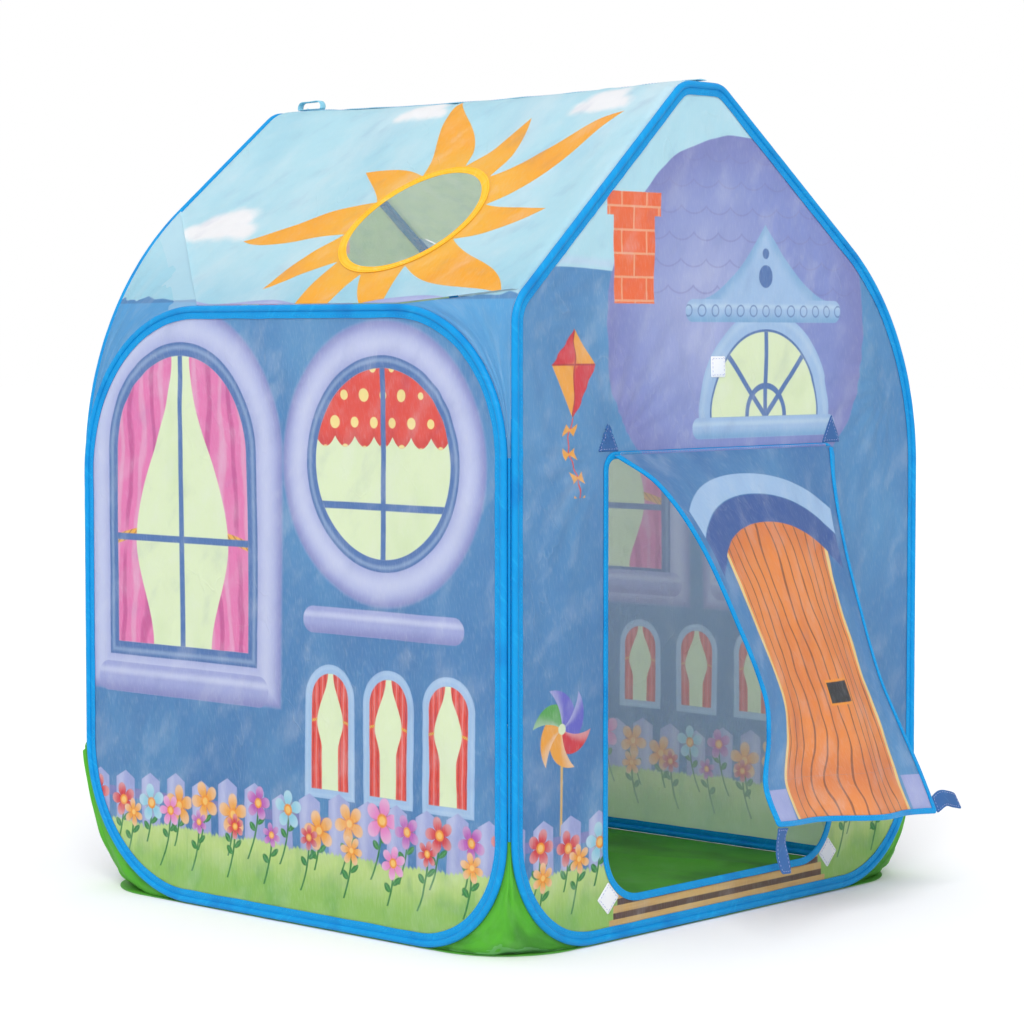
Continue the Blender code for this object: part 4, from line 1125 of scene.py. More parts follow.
@motif
def grass(cloth: Print, place: Place, level: float, seed: float = 0.0) -> None:
    """A strip of grass with a ragged upper edge."""
    wave = place.grown(1.0, 0.0).cloud(9.0, seed) * 0.030
    blade, index = place.repeated(0.0062)
    tip = index.hashed(seed) * 0.003 - abs(blade.across + (blade.up - level) * 0.25) * 0.9
    edge = place.up - wave - tip - level + 0.015
    field_mask = edge.inside(0.0018)
    cloth.lay(field_mask, Ink.GRASS_LIGHT)
    cloth.lay(edge.ramp(-0.006, -0.045) * field_mask, Ink.GRASS)
    cloth.lay(place.grown(1.0, 0.5).cloud(26.0, seed + 1.0, 3.0).ramp(0.5, 0.7) * field_mask * 0.35,
              Ink.LEAF_LIGHT)


@motif
def flowers(cloth: Print, place: Place, level: float, pitch: float = 0.040, size: float = 0.017,
            petals: int = 5, seed: float = 0.0) -> None:
    """A row of simple flowers, each with its own colour, size and height."""
    local, index = place.repeated(pitch)
    first = index.hashed(seed)
    second = index.hashed(seed + 31.0)
    rise = first * 0.024 + level
    aside = (second - 0.5) * (pitch * 0.22)
    foot = level - 0.046
    stem_place = Place(local.across - aside + (local.up - rise).power(2.0) * 4.0, local.up)
    upright = (local.up - rise).high(foot - local.up)
    cloth.lay((abs(stem_place.across) - 0.0013).high(upright).inside(0.0005), Ink.LEAF)
    for way, height in ((1, 0.020), (-1, 0.028)):
        leaf = Place(stem_place.across * way - 0.0065, local.up - rise + height).turned(0.75)
        blade = leaf.grown(0.5, 1.15).reach() + abs(leaf.across) * 0.12 - 0.0042
        cloth.lay(blade.inside(0.0005), Ink.LEAF)
        cloth.lay((abs(leaf.up) - 0.0004).high(blade + 0.0006).inside(0.0003), Ink.LEAF_LIGHT)
    bloom = Place(local.across - aside, local.up - rise)
    size = second * (size * 0.35) + size * 0.75
    reach = bloom.reach() / size
    lobe = abs((bloom.bearing() * (petals / 2) + first * 5.0).sine())
    petal = (reach - lobe.power(0.55) * 0.75 - 0.25).inside(0.045)
    cloth.lay(petal, second.pick(Ink.MAGENTA, Ink.SCARLET, Ink.AQUA, Ink.MARIGOLD, Ink.VIOLET, Ink.ROSE))
    cloth.lay(reach.ramp(0.35, 1.0) * petal * 0.35, Ink.WHITE)
    cloth.lay(lobe.ramp(0.5, 0.05) * petal * 0.55, Ink.RED_DEEP)
    cloth.lay((reach - 0.30).inside(0.04), Ink.SUN_DEEP)
    cloth.lay((reach - 0.19).inside(0.05), Ink.POLLEN)


@motif
def clouds(cloth: Print, place: Place, size: float, seed: float = 0.0, tint: Ink = Ink.CLOUD) -> None:
    """A soft heap of cloud, or the round crown of a tree in a green ink."""
    worn = place.cloud(34.0, seed, 3.0) * (size * 0.30)
    heap = None
    for across, up, share in ((0.0, 0.0, 0.50), (0.42, -0.08, 0.34), (-0.45, -0.10, 0.32), (0.16, 0.24, 0.34)):
        disc = place.about(across * size, up * size).grown(0.8, 1.1).reach() - share * size
        heap = disc if heap is None else heap.low(disc)
    heap = heap.high(-0.30 * size - place.up) + worn
    if tint is Ink.CLOUD:
        cloth.lay(heap.ramp(size * 0.22, -size * 0.02), tint)
        return
    crown = heap.inside(0.002)
    cloth.lay(crown, tint)
    leaf, index = Place(place.across + (place.up / 0.024).whole().wrapped(2.0) * 0.02, place.up).repeated(0.034)
    drop = Place(leaf.across, leaf.up.wrapped(0.024) * 1.3).reach() - 0.013
    cloth.lay(drop.inside(0.002) * crown * (index * 1.0).hashed(3.0).ramp(0.3, 0.5) * 0.5, Ink.LEAF_LIGHT)


@motif
def sun(cloth: Print, place: Place, radius: float, long_ray: float, short_ray: float, rays: int = 10) -> None:
    """Plain rays round an opening, long and short by turns."""
    reach = place.reach()
    turns = place.bearing() * (rays / (2 * math.pi)) + (reach * 19.0).sine() * 0.16
    share = 1.0 - abs(turns.wrapped(1.0)) * 2.0
    longer = abs((turns + 0.5).whole().wrapped(2.0)).ramp(0.3, 0.7)
    tip = longer * (long_ray - short_ray) + short_ray
    edge = reach - radius - share.power(1.3) * tip
    disc = edge.inside(0.0009)
    cloth.lay(disc, Ink.SUN)
    cloth.lay(reach.ramp(radius * 1.7, radius) * disc * 0.5, Ink.YELLOW)
    cloth.lay(place.cloud(15.0, 2.0, 3.0).ramp(0.5, 0.75) * disc * 0.28, Ink.SUN_DEEP)


@motif
def dome(cloth: Print, place: Place, radius: float, squat: float = 1.0) -> None:
    """A rounded roof with rows of scalloped shingles."""
    worn = place.cloud(7.0, 5.0) * 0.028
    away = place.grown(1.0, squat).reach() - radius + worn - 0.014
    body = away.inside(0.0012)
    cloth.lay(body, Ink.DOME)
    cloth.lay(away.ramp(-0.075, 0.0) * body * 0.65, Ink.LILAC_DEEP)
    glow = place.about(-radius * 0.25, radius * 0.10).reach()
    cloth.lay(glow.ramp(radius * 0.8, 0.0) * body * 0.45, Ink.LILAC_LIGHT)
    height = 0.030
    row = (place.up / height).whole()
    shifted = Place(place.across + row.wrapped(2.0) * 0.022, place.up)
    tile, _ = shifted.repeated(0.044)
    drop = Place(tile.across, (tile.up - (row + 1.0) * height) * 1.15).reach() - 0.0295
    line = (abs(drop) - 0.0011).inside(0.0009)
    cloth.lay(line * body * place.up.ramp(0.010, 0.040) * 0.55, Ink.LILAC_DEEP)


@motif
def bricks(cloth: Print, place: Place, width: float, height: float) -> None:
    """A few rows of brick, as on a chimney."""
    body = place.box(width, height)
    mask = body.low(place.about(0.0, height / 2).box(width * 1.3, 0.026)).inside()
    cloth.lay(mask, Ink.MORTAR)
    row = (place.up / 0.026).whole()
    brick, index = Place(place.across + row.wrapped(2.0) * 0.021, place.up).repeated(0.042)
    block = Place(brick.across, place.up - (row + 0.5) * 0.026).box(0.0395, 0.0235)
    cloth.lay(block.inside() * mask, Ink.BRICK)
    cloth.lay(block.inside() * mask * (index + row * 3.0).hashed(8.0) * 0.15, Ink.RED)


@motif
def lunette(cloth: Print, place: Place, radius: float, frame: float = 0.024) -> None:
    """A half-round window with spokes, flat at its foot."""
    away = (place.reach() - radius).high(-place.up)
    outer = (away - frame).inside()
    cloth.lay(outer, Ink.FRAME)
    cloth.lay(abs(away - frame * 0.7).ramp(frame * 0.3, 0.0) * outer * 0.5, Ink.FRAME_LIGHT)
    cloth.lay((away - 0.003).inside(), Ink.RING)
    pane = away.inside()
    cloth.lay(pane, Ink.PANE)
    cloth.lay(pane * place.cloud(14.0, 9.0).ramp(0.5, 0.8) * 0.35, Ink.PANE_DEEP)
    spoke = abs(place.turned(math.pi / 2).up) - 0.0035
    for angle in (math.pi / 4, -math.pi / 4):
        spoke = spoke.low(abs(place.turned(angle).up) - 0.0035)
    spoke = spoke.low(abs(place.reach() - radius * 0.36) - 0.0035)
    cloth.lay(spoke.inside() * pane, Ink.RING)


@motif
def pediment(cloth: Print, place: Place, width: float, height: float) -> None:
    """A low triangular head over a window, with a round boss."""
    near = place.mirrored()
    curve = (1.0 - near.across / (width / 2)).high(0.0).power(1.7) * height
    body = (place.up - curve).high(-place.up).high(near.across - width / 2).inside()
    cloth.lay(body, Ink.FRAME)
    cloth.lay((place.up - curve).ramp(-0.022, 0.0) * body * 0.55, Ink.WALL_LIGHT)
    cloth.lay((place.about(0.0, height * 0.32).reach() - height * 0.15).inside(), Ink.RING)
    cloth.lay((place.about(0.0, height * 0.62).reach() - height * 0.07).inside(), Ink.RING)


@motif
def kite(cloth: Print, place: Place, size: float) -> None:
    """A kite in four colours with a bowed tail."""
    tail = place.about(0.0, -size)
    sway = (tail.up * 58.0).sine() * 0.010
    hanging = tail.up.high(-size * 1.5 - tail.up)
    cloth.lay((abs(tail.across - sway) - 0.0011).high(hanging).inside(0.0005), Ink.RED)
    local = Place(tail.across - sway, worked(cloth.tree, "FLOORED_MODULO", tail.up, 0.026) - 0.013)
    bow = abs(local.across) * 1.0 - 0.010
    bow = bow.high(abs(local.up) - abs(local.across) * 0.6 - 0.0008).high(hanging)
    cloth.lay(bow.inside(0.0005), Ink.MARIGOLD)
    body = abs(place.across) / (size * 0.62) + abs(place.up + place.up.high(0.0) * 0.5) / size - 1.0
    quarter = (place.across * place.up).ramp(-0.00002, 0.00002)
    mask = body.inside(0.02)
    cloth.lay(mask, mixed(cloth.tree, quarter, Ink.SCARLET, Ink.MARIGOLD))
    spine = (abs(place.across) - 0.0010).low(abs(place.up) - 0.0010)
    cloth.lay(spine.inside(0.0005) * mask, Ink.RED_DEEP)


@motif
def pinwheel(cloth: Print, place: Place, size: float) -> None:
    """A pinwheel on a stick."""
    stick = (abs(place.across) - 0.0020).high(abs(place.up + size * 1.3) - size * 1.3)
    cloth.lay(stick.inside(), Ink.STEP)
    reach = place.reach()
    turns = place.bearing() * (6 / (2 * math.pi)) - reach * 9.0
    local = turns.wrapped(1.0) + 0.5
    sail = (reach - size * 0.62 - local * (size * 0.42)).inside()
    shade = ((turns + 0.5).whole().wrapped(6.0) + 3.0) / 6.0
    cloth.lay(sail, shade.pick(Ink.MARIGOLD, Ink.SCARLET, Ink.MAGENTA, Ink.VIOLET, Ink.LEAF_LIGHT, Ink.SUN))
    cloth.lay(local.ramp(0.6, 1.0) * sail * 0.35, Ink.WHITE)
    cloth.lay((reach - size * 0.13).inside(), Ink.PANE)


@motif
def balloon(cloth: Print, place: Place, size: float, tint: Ink) -> None:
    """A balloon on a string."""
    sway = (place.up * 40.0).sine() * 0.006
    string = (abs(place.across - sway) - 0.0009).high(abs(place.up + size * 2.4) - size * 1.5)
    cloth.lay(string.inside(0.0005), Ink.NAVY)
    shape = place.grown(1.0, 0.82).reach() + (-place.up).high(0.0) * 0.14 - size
    body = shape.inside()
    cloth.lay(body, tint)
    cloth.lay(shape.ramp(-size * 0.5, 0.0) * body * 0.35, Ink.NAVY)
    cloth.lay((place.about(-size * 0.35, size * 0.4).grown(1.5, 1.0).reach() - size * 0.22)
              .ramp(0.004, -0.004) * 0.7, Ink.WHITE)


@motif
def steps(cloth: Print, place: Place, width: float, tread: float = 0.0155) -> None:
    """Broad wooden steps under the door."""
    row = (place.up / tread).whole()
    half = width / 2 - row * 0.007
    body = (abs(place.across) - half).high(abs(place.up - tread * 1.5) - tread * 1.5).inside()
    cloth.lay(body, Ink.STEP)
    riser = (place.up - row * tread).ramp(tread * 0.50, tread * 0.42)
    cloth.lay(riser * body, Ink.STEP_DEEP)
    cloth.lay(place.grown(0.25, 3.0).cloud(40.0, 3.0).ramp(0.5, 0.7) * body * 0.25, Ink.GRAIN)


@motif
def hills(cloth: Print, place: Place, level: float, rise: float, tint: Ink, seed: float,
          scale: float = 6.0, over: bool = False) -> None:
    """A soft line of hills."""
    line = place.grown(1.0, 0.0).cloud(scale, seed, 0.5) * rise + (level - rise / 2)
    under = line - place.up if over else place.up - line
    cloth.lay(under.inside(0.001), tint)
    cloth.lay(abs(under + 0.007).ramp(0.009, 0.0) * under.inside(0.001) * 0.4, Ink.LILAC_LIGHT)


@motif
def boards(cloth: Print, place: Place, half: float = 0.146) -> None:
    """A door of upright boards under a curved head, on a flap whose places run down from its hinge."""
    foot = -0.400
    bow = place.about(0.0, foot)
    reach = bow.reach()
    width = abs(place.across)
    head = (width - 0.178).high(foot + 0.1 - place.up)
    cloth.lay(head.high(abs(reach - 0.353) - 0.013).inside(), Ink.FRAME)
    cloth.lay(head.high(abs(reach - 0.322) - 0.017).inside(), Ink.NAVY)
    wave = (place.up * 26.0).sine() * 0.0035 + place.cloud(9.0, 4.0) * 0.020 - 0.010
    wavy = place.across + wave
    under = reach - 0.306
    above = (under.high(foot - place.up)).low(place.up - foot)
    body = (abs(wavy) - half).high(above)
    mask = body.inside()
    cloth.lay(mask, Ink.WOOD)
    cloth.lay(place.grown(1.0, 0.25).cloud(22.0, 1.0, 3.0).ramp(0.45, 0.72) * mask * 0.5, Ink.WOOD_DEEP)
    cloth.lay(above.ramp(-0.050, 0.0) * mask * 0.6, Ink.WOOD_DEEP)
    cloth.lay((abs(abs(wavy) - half + 0.004) - 0.004).inside() * mask, Ink.WOOD_EDGE)
    grain = place.grown(1.0, 1.0).cloud(13.0, 7.0, 1.0) * 0.030
    line = abs((wavy * 1.15 + grain).wrapped(0.0275)) - 0.0019
    cloth.lay(line.inside() * (abs(wavy) - half + 0.014).inside() * mask * 0.9, Ink.GRAIN)
    slot = place.about(0.028, -0.292)
    cloth.lay((slot.box(0.058, 0.026) - 0.003).inside(), Ink.SUN_DEEP)
    cloth.lay(slot.box(0.058, 0.026).inside(), Ink.SLOT)
    corner = (half + 0.004 - width).high(place.up + 0.412)
    cloth.lay(corner.inside(), Ink.LILAC)


@dataclass(frozen=True)
class Design:
    """A whole print: its ground and its motifs, from the back forward, each with its middle if it has one."""

    ground: Ink
    motifs: tuple[tuple, ...] = ()

    def painted(self, tree: Tree, place: Place) -> Socket:
        """Prints all layers and returns the colour."""
        cloth = Print(tree, self.ground)
        for one, *middle in self.motifs:
            one(cloth, place.about(*middle) if middle else place)
        return cloth.colour


MEADOW = (
    (fence(0.118), 0.0, 0.03),
    (grass(0.088, 2.0),),
    (flowers(0.112, 0.048, 0.025, 5, 3.0), 0.012, 0.0),
    (flowers(0.086, 0.062, 0.018, 6, 9.0), -0.014, 0.0),
)
SMALL_WINDOW = window(0.058, 0.010, -0.075, 0.028, Ink.FRAME, Ink.RED, Ink.RED_DEEP)
WINDOW_WALL = Design(Ink.WALL, (
    (ground(Ink.WALL_LIGHT, Ink.WALL_DEEP),),
    (halo(0.226, 0.020, 0.250, 0.058), -0.172, 0.285),
    (window(0.226, 0.016, 0.020, 0.250, Ink.RING, Ink.PINK, bars=0.008), -0.172, 0.285),
    (ledge(0.300, 0.036), -0.172, 0.262),
    (halo(0.212, -10.0, 0.0, 0.052), 0.160, 0.530),
    (window(0.212, 0.014, ring=Ink.RING, blind=0.022, bars=0.008), 0.160, 0.530),
    (ledge(0.250, 0.030), 0.160, 0.352),
    (row(SMALL_WINDOW, 3, 0.092), 0.170, 0.235),
    *MEADOW,
))
DOOR_GABLE = Design(Ink.WALL, (
    (ground(Ink.WALL_LIGHT, Ink.WALL_DEEP, 0.5, 4.0),),
    (hills(0.745, 0.050, Ink.SKY, 3.0, 3.0, True),),
    (dome(0.240, 1.12), 0.020, 0.685),
    (bricks(0.070, 0.110), -0.172, 0.762),
    (pediment(0.250, 0.088), 0.066, 0.712),
    (lunette(0.098), 0.066, 0.578),
    (ledge(0.290, 0.026, Ink.FRAME, Ink.FRAME_LIGHT, Ink.WALL_LIGHT, True), 0.066, 0.700),
    (ledge(0.270, 0.024, Ink.FRAME, Ink.FRAME_LIGHT, Ink.WALL_LIGHT), 0.066, 0.566),
    (kite(0.058), -0.272, 0.640),
    (pinwheel(0.046), -0.292, 0.245),
    *MEADOW,
    (steps(0.400), -0.012, 0.008),
))
REAR_GABLE = Design(Ink.WALL, (
    (ground(Ink.WALL_LIGHT, Ink.WALL_DEEP, 0.6, 6.0),),
    (hills(0.735, 0.050, Ink.SKY, 6.0, 3.0, True),),
    (clouds(0.400, 13.0, Ink.GRASS), -0.180, 0.740),
    (dome(0.205, 1.10), 0.105, 0.650),
    (bricks(0.056, 0.090), -0.050, 0.825),
    (halo(0.150, -10.0, 0.0, 0.036), 0.100, 0.655),
    (window(0.150, 0.014, ring=Ink.FRAME, curtain=Ink.PINK, bars=0.007), 0.100, 0.655),
    (ledge(0.230, 0.026), 0.100, 0.540),
    (row(window(0.070, 0.011, -0.080, 0.040, Ink.FRAME, Ink.RED, Ink.RED_DEEP), 4, 0.112), 0.0, 0.320),
    (balloon(0.030, Ink.MARIGOLD), -0.285, 0.520),
    (balloon(0.026, Ink.SCARLET), 0.300, 0.500),
    *MEADOW,
))
FAR_WALL = Design(Ink.WALL, (
    (ground(Ink.WALL_LIGHT, Ink.WALL_DEEP, 0.7, 8.0),),
    (halo(0.200, 0.0, 0.150, 0.048), -0.160, 0.360),
    (window(0.200, 0.015, 0.0, 0.150, Ink.RING, None, blind=0.140, bars=0.008), -0.160, 0.360),
    (ledge(0.270, 0.032), -0.160, 0.340),
    (halo(0.200, 0.0, 0.150, 0.048), 0.160, 0.360),
    (window(0.200, 0.015, 0.0, 0.150, Ink.RING, Ink.PINK, bars=0.008), 0.160, 0.360),
    (ledge(0.270, 0.032), 0.160, 0.340),
    (row(window(0.052, 0.009, -0.055, 0.020, Ink.FRAME, Ink.RED, Ink.RED_DEEP), 5, 0.098), 0.0, 0.235),
    *MEADOW,
))
DOOR_FLAP = Design(Ink.WALL, (
    (ground(Ink.WALL_LIGHT, Ink.WALL_DEEP, -0.470, 3.0),),
    (boards(),),
))
SUN_ROOF = Design(Ink.SKY, (
    (ground(Ink.CLOUD, Ink.SKY_DEEP, 0.1, 5.0),),
    (clouds(0.085, 3.0), -0.238, 0.150),
    (clouds(0.060, 5.0), 0.250, 0.350),
    (clouds(0.055, 6.0), -0.060, 0.375),
    (sun(0.100, 0.170, 0.095), 0.095, 0.150),
    (hills(0.004, 0.075, Ink.LILAC, 5.0, 7.0),),
))
CLOUD_ROOF = Design(Ink.SKY, (
    (ground(Ink.CLOUD, Ink.SKY_DEEP, 0.1, 7.0),),
    (clouds(0.100, 7.0), -0.170, 0.290),
    (clouds(0.065, 9.0), 0.200, 0.330),
    (clouds(0.050, 11.0), -0.020, 0.390),
    (clouds(0.400, 13.0, Ink.GRASS), 0.215, 0.215),
    (clouds(0.280, 15.0, Ink.LEAF_LIGHT), 0.090, 0.080),
    (clouds(0.240, 14.0, Ink.LEAF_LIGHT), -0.190, 0.070),
    (hills(0.004, 0.075, Ink.LILAC, 9.0, 7.0),),
))


@dataclass(frozen=True)
class ClothFinish:
    """Thin woven cloth, printed or dyed, through which some light passes."""

    roughness: float = 0.60
    sheen: float = 0.04
    let_through: float = 0.48
    haze_and_crease_highlight: float = 1.0
    weave_pitch: float = 0.0011
    weave_depth: float = 0.00003
    crinkle_depth: float = 0.0017
    crinkle_scale: float = 34.0
    fading: float = 0.45
    holes: float = 0.0

    def material(self, name: str, painter: Callable[[Tree, Place], Tint]) -> Material:
        """Makes the material.

        Args:
            name: The material's name.
            painter: Gives the cloth's colour at a flat place.

        Returns:
            The material, which reads the piece's own flat places.
        """
        material, tree = blank(name)
        place = flat_place(tree)
        colour = painter(tree, place)
        worn = place.cloud(5.5, 8.0, 4.0)
        mottle = place.turned(-0.6).grown(1.0, 0.55).cloud(30.0, 6.0, 6.0)
        fibre = place.turned(0.16).grown(1.0, 0.16).cloud(560.0, 2.0, 2.0)
        crease = abs(place.turned(0.5).grown(1.0, 0.5).cloud(15.0, 12.0, 3.0) - 0.5).ramp(0.010, 0.0)
        crease = crease * worn.ramp(0.45, 0.60)
        # Random fibre and mottle haze, plus a painted highlight: the crease lines are painted lighter, as if
        # light catches them.
        haze_and_crease_highlight = fibre.ramp(0.45, 0.75) * 0.11 + mottle.ramp(0.48, 0.72) * 0.13 + crease * 0.05
        colour = mixed(tree, haze_and_crease_highlight * self.haze_and_crease_highlight, colour, Ink.WHITE)
        colour = mixed(tree, mottle.ramp(0.46, 0.25) * 0.13 * self.haze_and_crease_highlight, colour, Ink.NAVY)
        inside = found(tree, "ShaderNodeAttribute", {}, "Fac", attribute_name="inner")
        colour = mixed(tree, inside * self.fading, colour, Ink.INSIDE)
        weave = (place.across * (2 * math.pi / self.weave_pitch)).sine()
        weave = weave * (place.up * (2 * math.pi / self.weave_pitch)).sine() * self.weave_depth
        crinkle = place.grown(1.0, 0.7).cloud(self.crinkle_scale, 5.0, 3.5) * self.crinkle_depth
        bump = raised(tree, crinkle + weave + crease * 0.0003)
        roughness = worn.ramp(0.2, 0.8) * 0.16 + (self.roughness - 0.08)
        lit = woven(tree, colour, roughness, self.sheen, 0.15, bump)
        if self.let_through:
            pale = mixed(tree, inside * 0.5 + 0.5, colour, Ink.WHITE)
            glow = added(tree, "ShaderNodeBsdfTranslucent", {"Color": pale, "Normal": bump})
            lit = added(tree, "ShaderNodeMixShader", {0: self.let_through, 1: lit, 2: glow})
        if self.holes:
            clear = added(tree, "ShaderNodeBsdfTransparent")
            lit = added(tree, "ShaderNodeMixShader", {0: self.net_threads(place), 1: clear, 2: lit})
        added(tree, "ShaderNodeOutputMaterial", {"Surface": lit})
        return material

    def net_threads(self, place: Place) -> Field:
        """1 on the threads of a fine net with slanted meshes."""
        first = abs((place.across + place.up * 0.58).wrapped(self.holes))
        second = abs((place.across - place.up * 0.58).wrapped(self.holes))
        third = abs(place.up.wrapped(self.holes * 0.86))
        return first.low(second).low(third).ramp(self.holes * 0.034, self.holes * 0.010)


@dataclass(frozen=True)
class TapeFinish:
    """Woven tape with puckers across it, in three shades: its dye, a painted highlight on the raised puckers
    and a darker shade in random patches.
    """

    tint: Ink
    light: Ink
    deep: Ink
    roughness: float = 0.46
    sheen: float = 0.03
    let_through: float = 0.25

    def material(self, name: str) -> Material:
        """Makes the material, which reads the distances along and round the tape."""
        material, tree = blank(name)
        place = flat_place(tree)
        slant = Place(place.across + place.up * 0.9, place.up)
        pucker = slant.grown(1.0, 0.28).cloud(150.0, 1.0, 2.0)
        broad = place.grown(1.0, 0.5).cloud(22.0, 2.0, 2.0)
        # Painted highlight: the raised puckers are painted in the lighter shade.
        colour = mixed(tree, pucker.ramp(0.52, 0.80) * 0.55, self.tint, self.light)
        colour = mixed(tree, broad.ramp(0.45, 0.75) * 0.45, colour, self.deep)
        ribs = (place.up * (2 * math.pi / 0.0008)).sine() * 0.00002
        bump = raised(tree, pucker * 0.0007 + ribs)
        lit = woven(tree, colour, broad * 0.14 + (self.roughness - 0.07), self.sheen, 0.24, bump)
        glow = added(tree, "ShaderNodeBsdfTranslucent", {"Color": colour})
        both = added(tree, "ShaderNodeMixShader", {0: self.let_through, 1: lit, 2: glow})
        added(tree, "ShaderNodeOutputMaterial", {"Surface": both})
        return material


@dataclass(frozen=True)
class SteelFinish:
    """Plated steel with fine marks along it."""

    roughness: float

    def material(self, name: str) -> Material:
        """Makes the material on the piece's own object coordinates."""
        material, tree = blank(name)
        spot = added(tree, "ShaderNodeTexCoord").outputs["Object"]
        grain = found(tree, "ShaderNodeTexNoise", {"Vector": spot, "Scale": 900.0, "Detail": 3.0}, "Fac")
        tint = mixed(tree, grain.ramp(0.4, 0.8) * 0.3, Ink.WHITE, Ink.STEP_DEEP)
        shader = added(tree, "ShaderNodeBsdfPrincipled", {
            "Metallic": 1.0,
            "Base Color": mixed(tree, 0.6, tint, Ink.FRAME),
            "Roughness": grain * 0.2 + self.roughness,
            "Normal": added(tree, "ShaderNodeBump", {"Distance": 0.00005, "Height": grain}),
        })
        added(tree, "ShaderNodeOutputMaterial", {"Surface": shader})
        return material


def blank(name: str) -> tuple[Material, Tree]:
    """A new material and its empty tree."""
    material = bpy.data.materials.new(name)
    material.use_nodes = True
    material.node_tree.nodes.clear()
    return material, material.node_tree


def flat_place(tree: Tree) -> Place:
    """The piece's own flat place, from its map."""
    cloth_map = added(tree, "ShaderNodeUVMap", uv_map="Print")
    parts = added(tree, "ShaderNodeSeparateXYZ", {0: cloth_map}).outputs
    return Place(Field(tree, parts[0]), Field(tree, parts[1]))


def raised(tree: Tree, relief: Field) -> Node:
    """A bump from a relief in metres."""
    return added(tree, "ShaderNodeBump", {"Distance": 1.0, "Strength": 0.8, "Height": relief})


def woven(tree: Tree, colour: Socket, roughness: Field, sheen: float, shine: float, bump: Node) -> Node:
    """The shader of woven goods."""
    return added(tree, "ShaderNodeBsdfPrincipled", {
        "Base Color": colour,
        "Sheen Weight": sheen,
        "Specular IOR Level": shine,
        "Roughness": roughness,
        "Normal": bump,
    })


# ---------------------------------------------------------------- sub-assemblies

class Wardrobe:
    """All finishes of the tent, made once."""

    def __init__(self) -> None:
        """Makes every material."""
        cloth = ClothFinish()
        self.tape = TapeFinish(Ink.AZURE, Ink.AZURE_LIGHT, Ink.AZURE_DEEP).material("azure_tape")
        self.yellow = TapeFinish(Ink.YELLOW, Ink.DOT, Ink.SUN, 0.55).material("yellow_tape")
        self.aqua = TapeFinish(Ink.AQUA, Ink.SKY, Ink.SKY_DEEP, 0.55).material("aqua_tape")
        self.tab = TapeFinish(Ink.TAB_BLUE, Ink.WALL, Ink.NAVY, 0.60).material("tab_cloth")
        self.patch = TapeFinish(Ink.WHITE, Ink.CLOUD, Ink.FRAME_LIGHT, 0.75, 0.3).material("loop_patch")
        self.thread = TapeFinish(Ink.AZURE_LIGHT, Ink.FRAME, Ink.AZURE, 0.50).material("azure_thread")
        self.white_thread = TapeFinish(Ink.LILAC, Ink.WHITE, Ink.WALL, 0.55).material("pale_thread")
        self.gold_thread = TapeFinish(Ink.SUN, Ink.YELLOW, Ink.SUN_DEEP, 0.55).material("yellow_thread")
        self.front = cloth.material("door_gable_print", DOOR_GABLE.painted)
        self.rear = ClothFinish(let_through=0.60, fading=0.10).material("rear_gable_print", REAR_GABLE.painted)
        self.left = cloth.material("window_wall_print", WINDOW_WALL.painted)
        self.right = cloth.material("far_wall_print", FAR_WALL.painted)
        roof = ClothFinish(let_through=0.50, crinkle_depth=0.0022, fading=0.12)
        self.left_roof = roof.material("sun_roof_print", SUN_ROOF.painted)
        thin = ClothFinish(let_through=0.70, crinkle_depth=0.0022, fading=0.05)
        self.right_roof = thin.material("cloud_roof_print", CLOUD_ROOF.painted)
        self.flap = cloth.material("door_flap_print", DOOR_FLAP.painted)
        self.gusset = ClothFinish(crinkle_depth=0.0020).material("plain_blue_cloth", self.plain_blue)
        green = ClothFinish(roughness=0.50, sheen=0.03, let_through=0.30, haze_and_crease_highlight=0.25, crinkle_depth=0.0034,
                            crinkle_scale=24.0, fading=0.12)
        self.floor = green.material("green_floor_cloth", self.green)
        net = ClothFinish(roughness=0.7, sheen=0.0, let_through=0.35, haze_and_crease_highlight=0.0, crinkle_depth=0.0005,
                          holes=0.0021)
        self.net = net.material("white_net", self.pale)
        self.wire = SteelFinish(0.25).material("spring_wire_steel")
        self.ferrule = SteelFinish(0.35).material("sleeve_steel")

    @staticmethod
    def plain_blue(tree: Tree, place: Place) -> Tint:
        """Plain blue cloth with worn streaks, under the hills and the sky of the roof's print."""
        cloth = Print(tree, Ink.PLAIN_BLUE)
        cloth.lay(place.grown(1.0, 0.3).cloud(30.0, 4.0, 3.0).ramp(0.4, 0.75) * 0.5, Ink.WALL_LIGHT)
        cloth.lay((0.004 - place.up).inside(), Ink.WALL)
        sky = Print(tree, Ink.SKY)
        ground(Ink.CLOUD, Ink.SKY_DEEP, 0.1, 5.0)(sky, place)
        hills = place.cloud(26.0, 3.0, 1.0) * 0.018
        cloth.lay((hills - place.up).inside(0.001), sky.colour)
        return cloth.colour

    @staticmethod
    def green(tree: Tree, place: Place) -> Tint:
        """Bright green cloth with painted shade for its folds, darker in random patches."""
        # Painted shade: random patches are darkened to stand for shade in the folds.
        folds = place.grown(1.0, 0.6).cloud(12.0, 4.0, 4.0)
        return mixed(tree, folds.ramp(0.42, 0.72) * 0.55, Ink.FLOOR, Ink.FLOOR_FOLD_SHADE)

    @staticmethod
    def pale(tree: Tree, place: Place) -> Tint:
        """White net, slightly uneven."""
        return mixed(tree, place.cloud(14.0, 3.0).ramp(0.4, 0.7) * 0.2, Ink.NET, Ink.FRAME_LIGHT)


def dress(piece: Object, body: str, slot: str, *nodes: str) -> Object:
    """Makes a piece ride on its body and hides the CAD nodes it stands for."""
    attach(piece, body)
    if nodes:
        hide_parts(*nodes)
    return piece


def crumple(piece: Object, axis: Vector, anchor: Vector, keep: float) -> None:
    """Gives a piece a mesh of its own."""
    tuple(axis)
    tuple(anchor)
    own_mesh(piece)


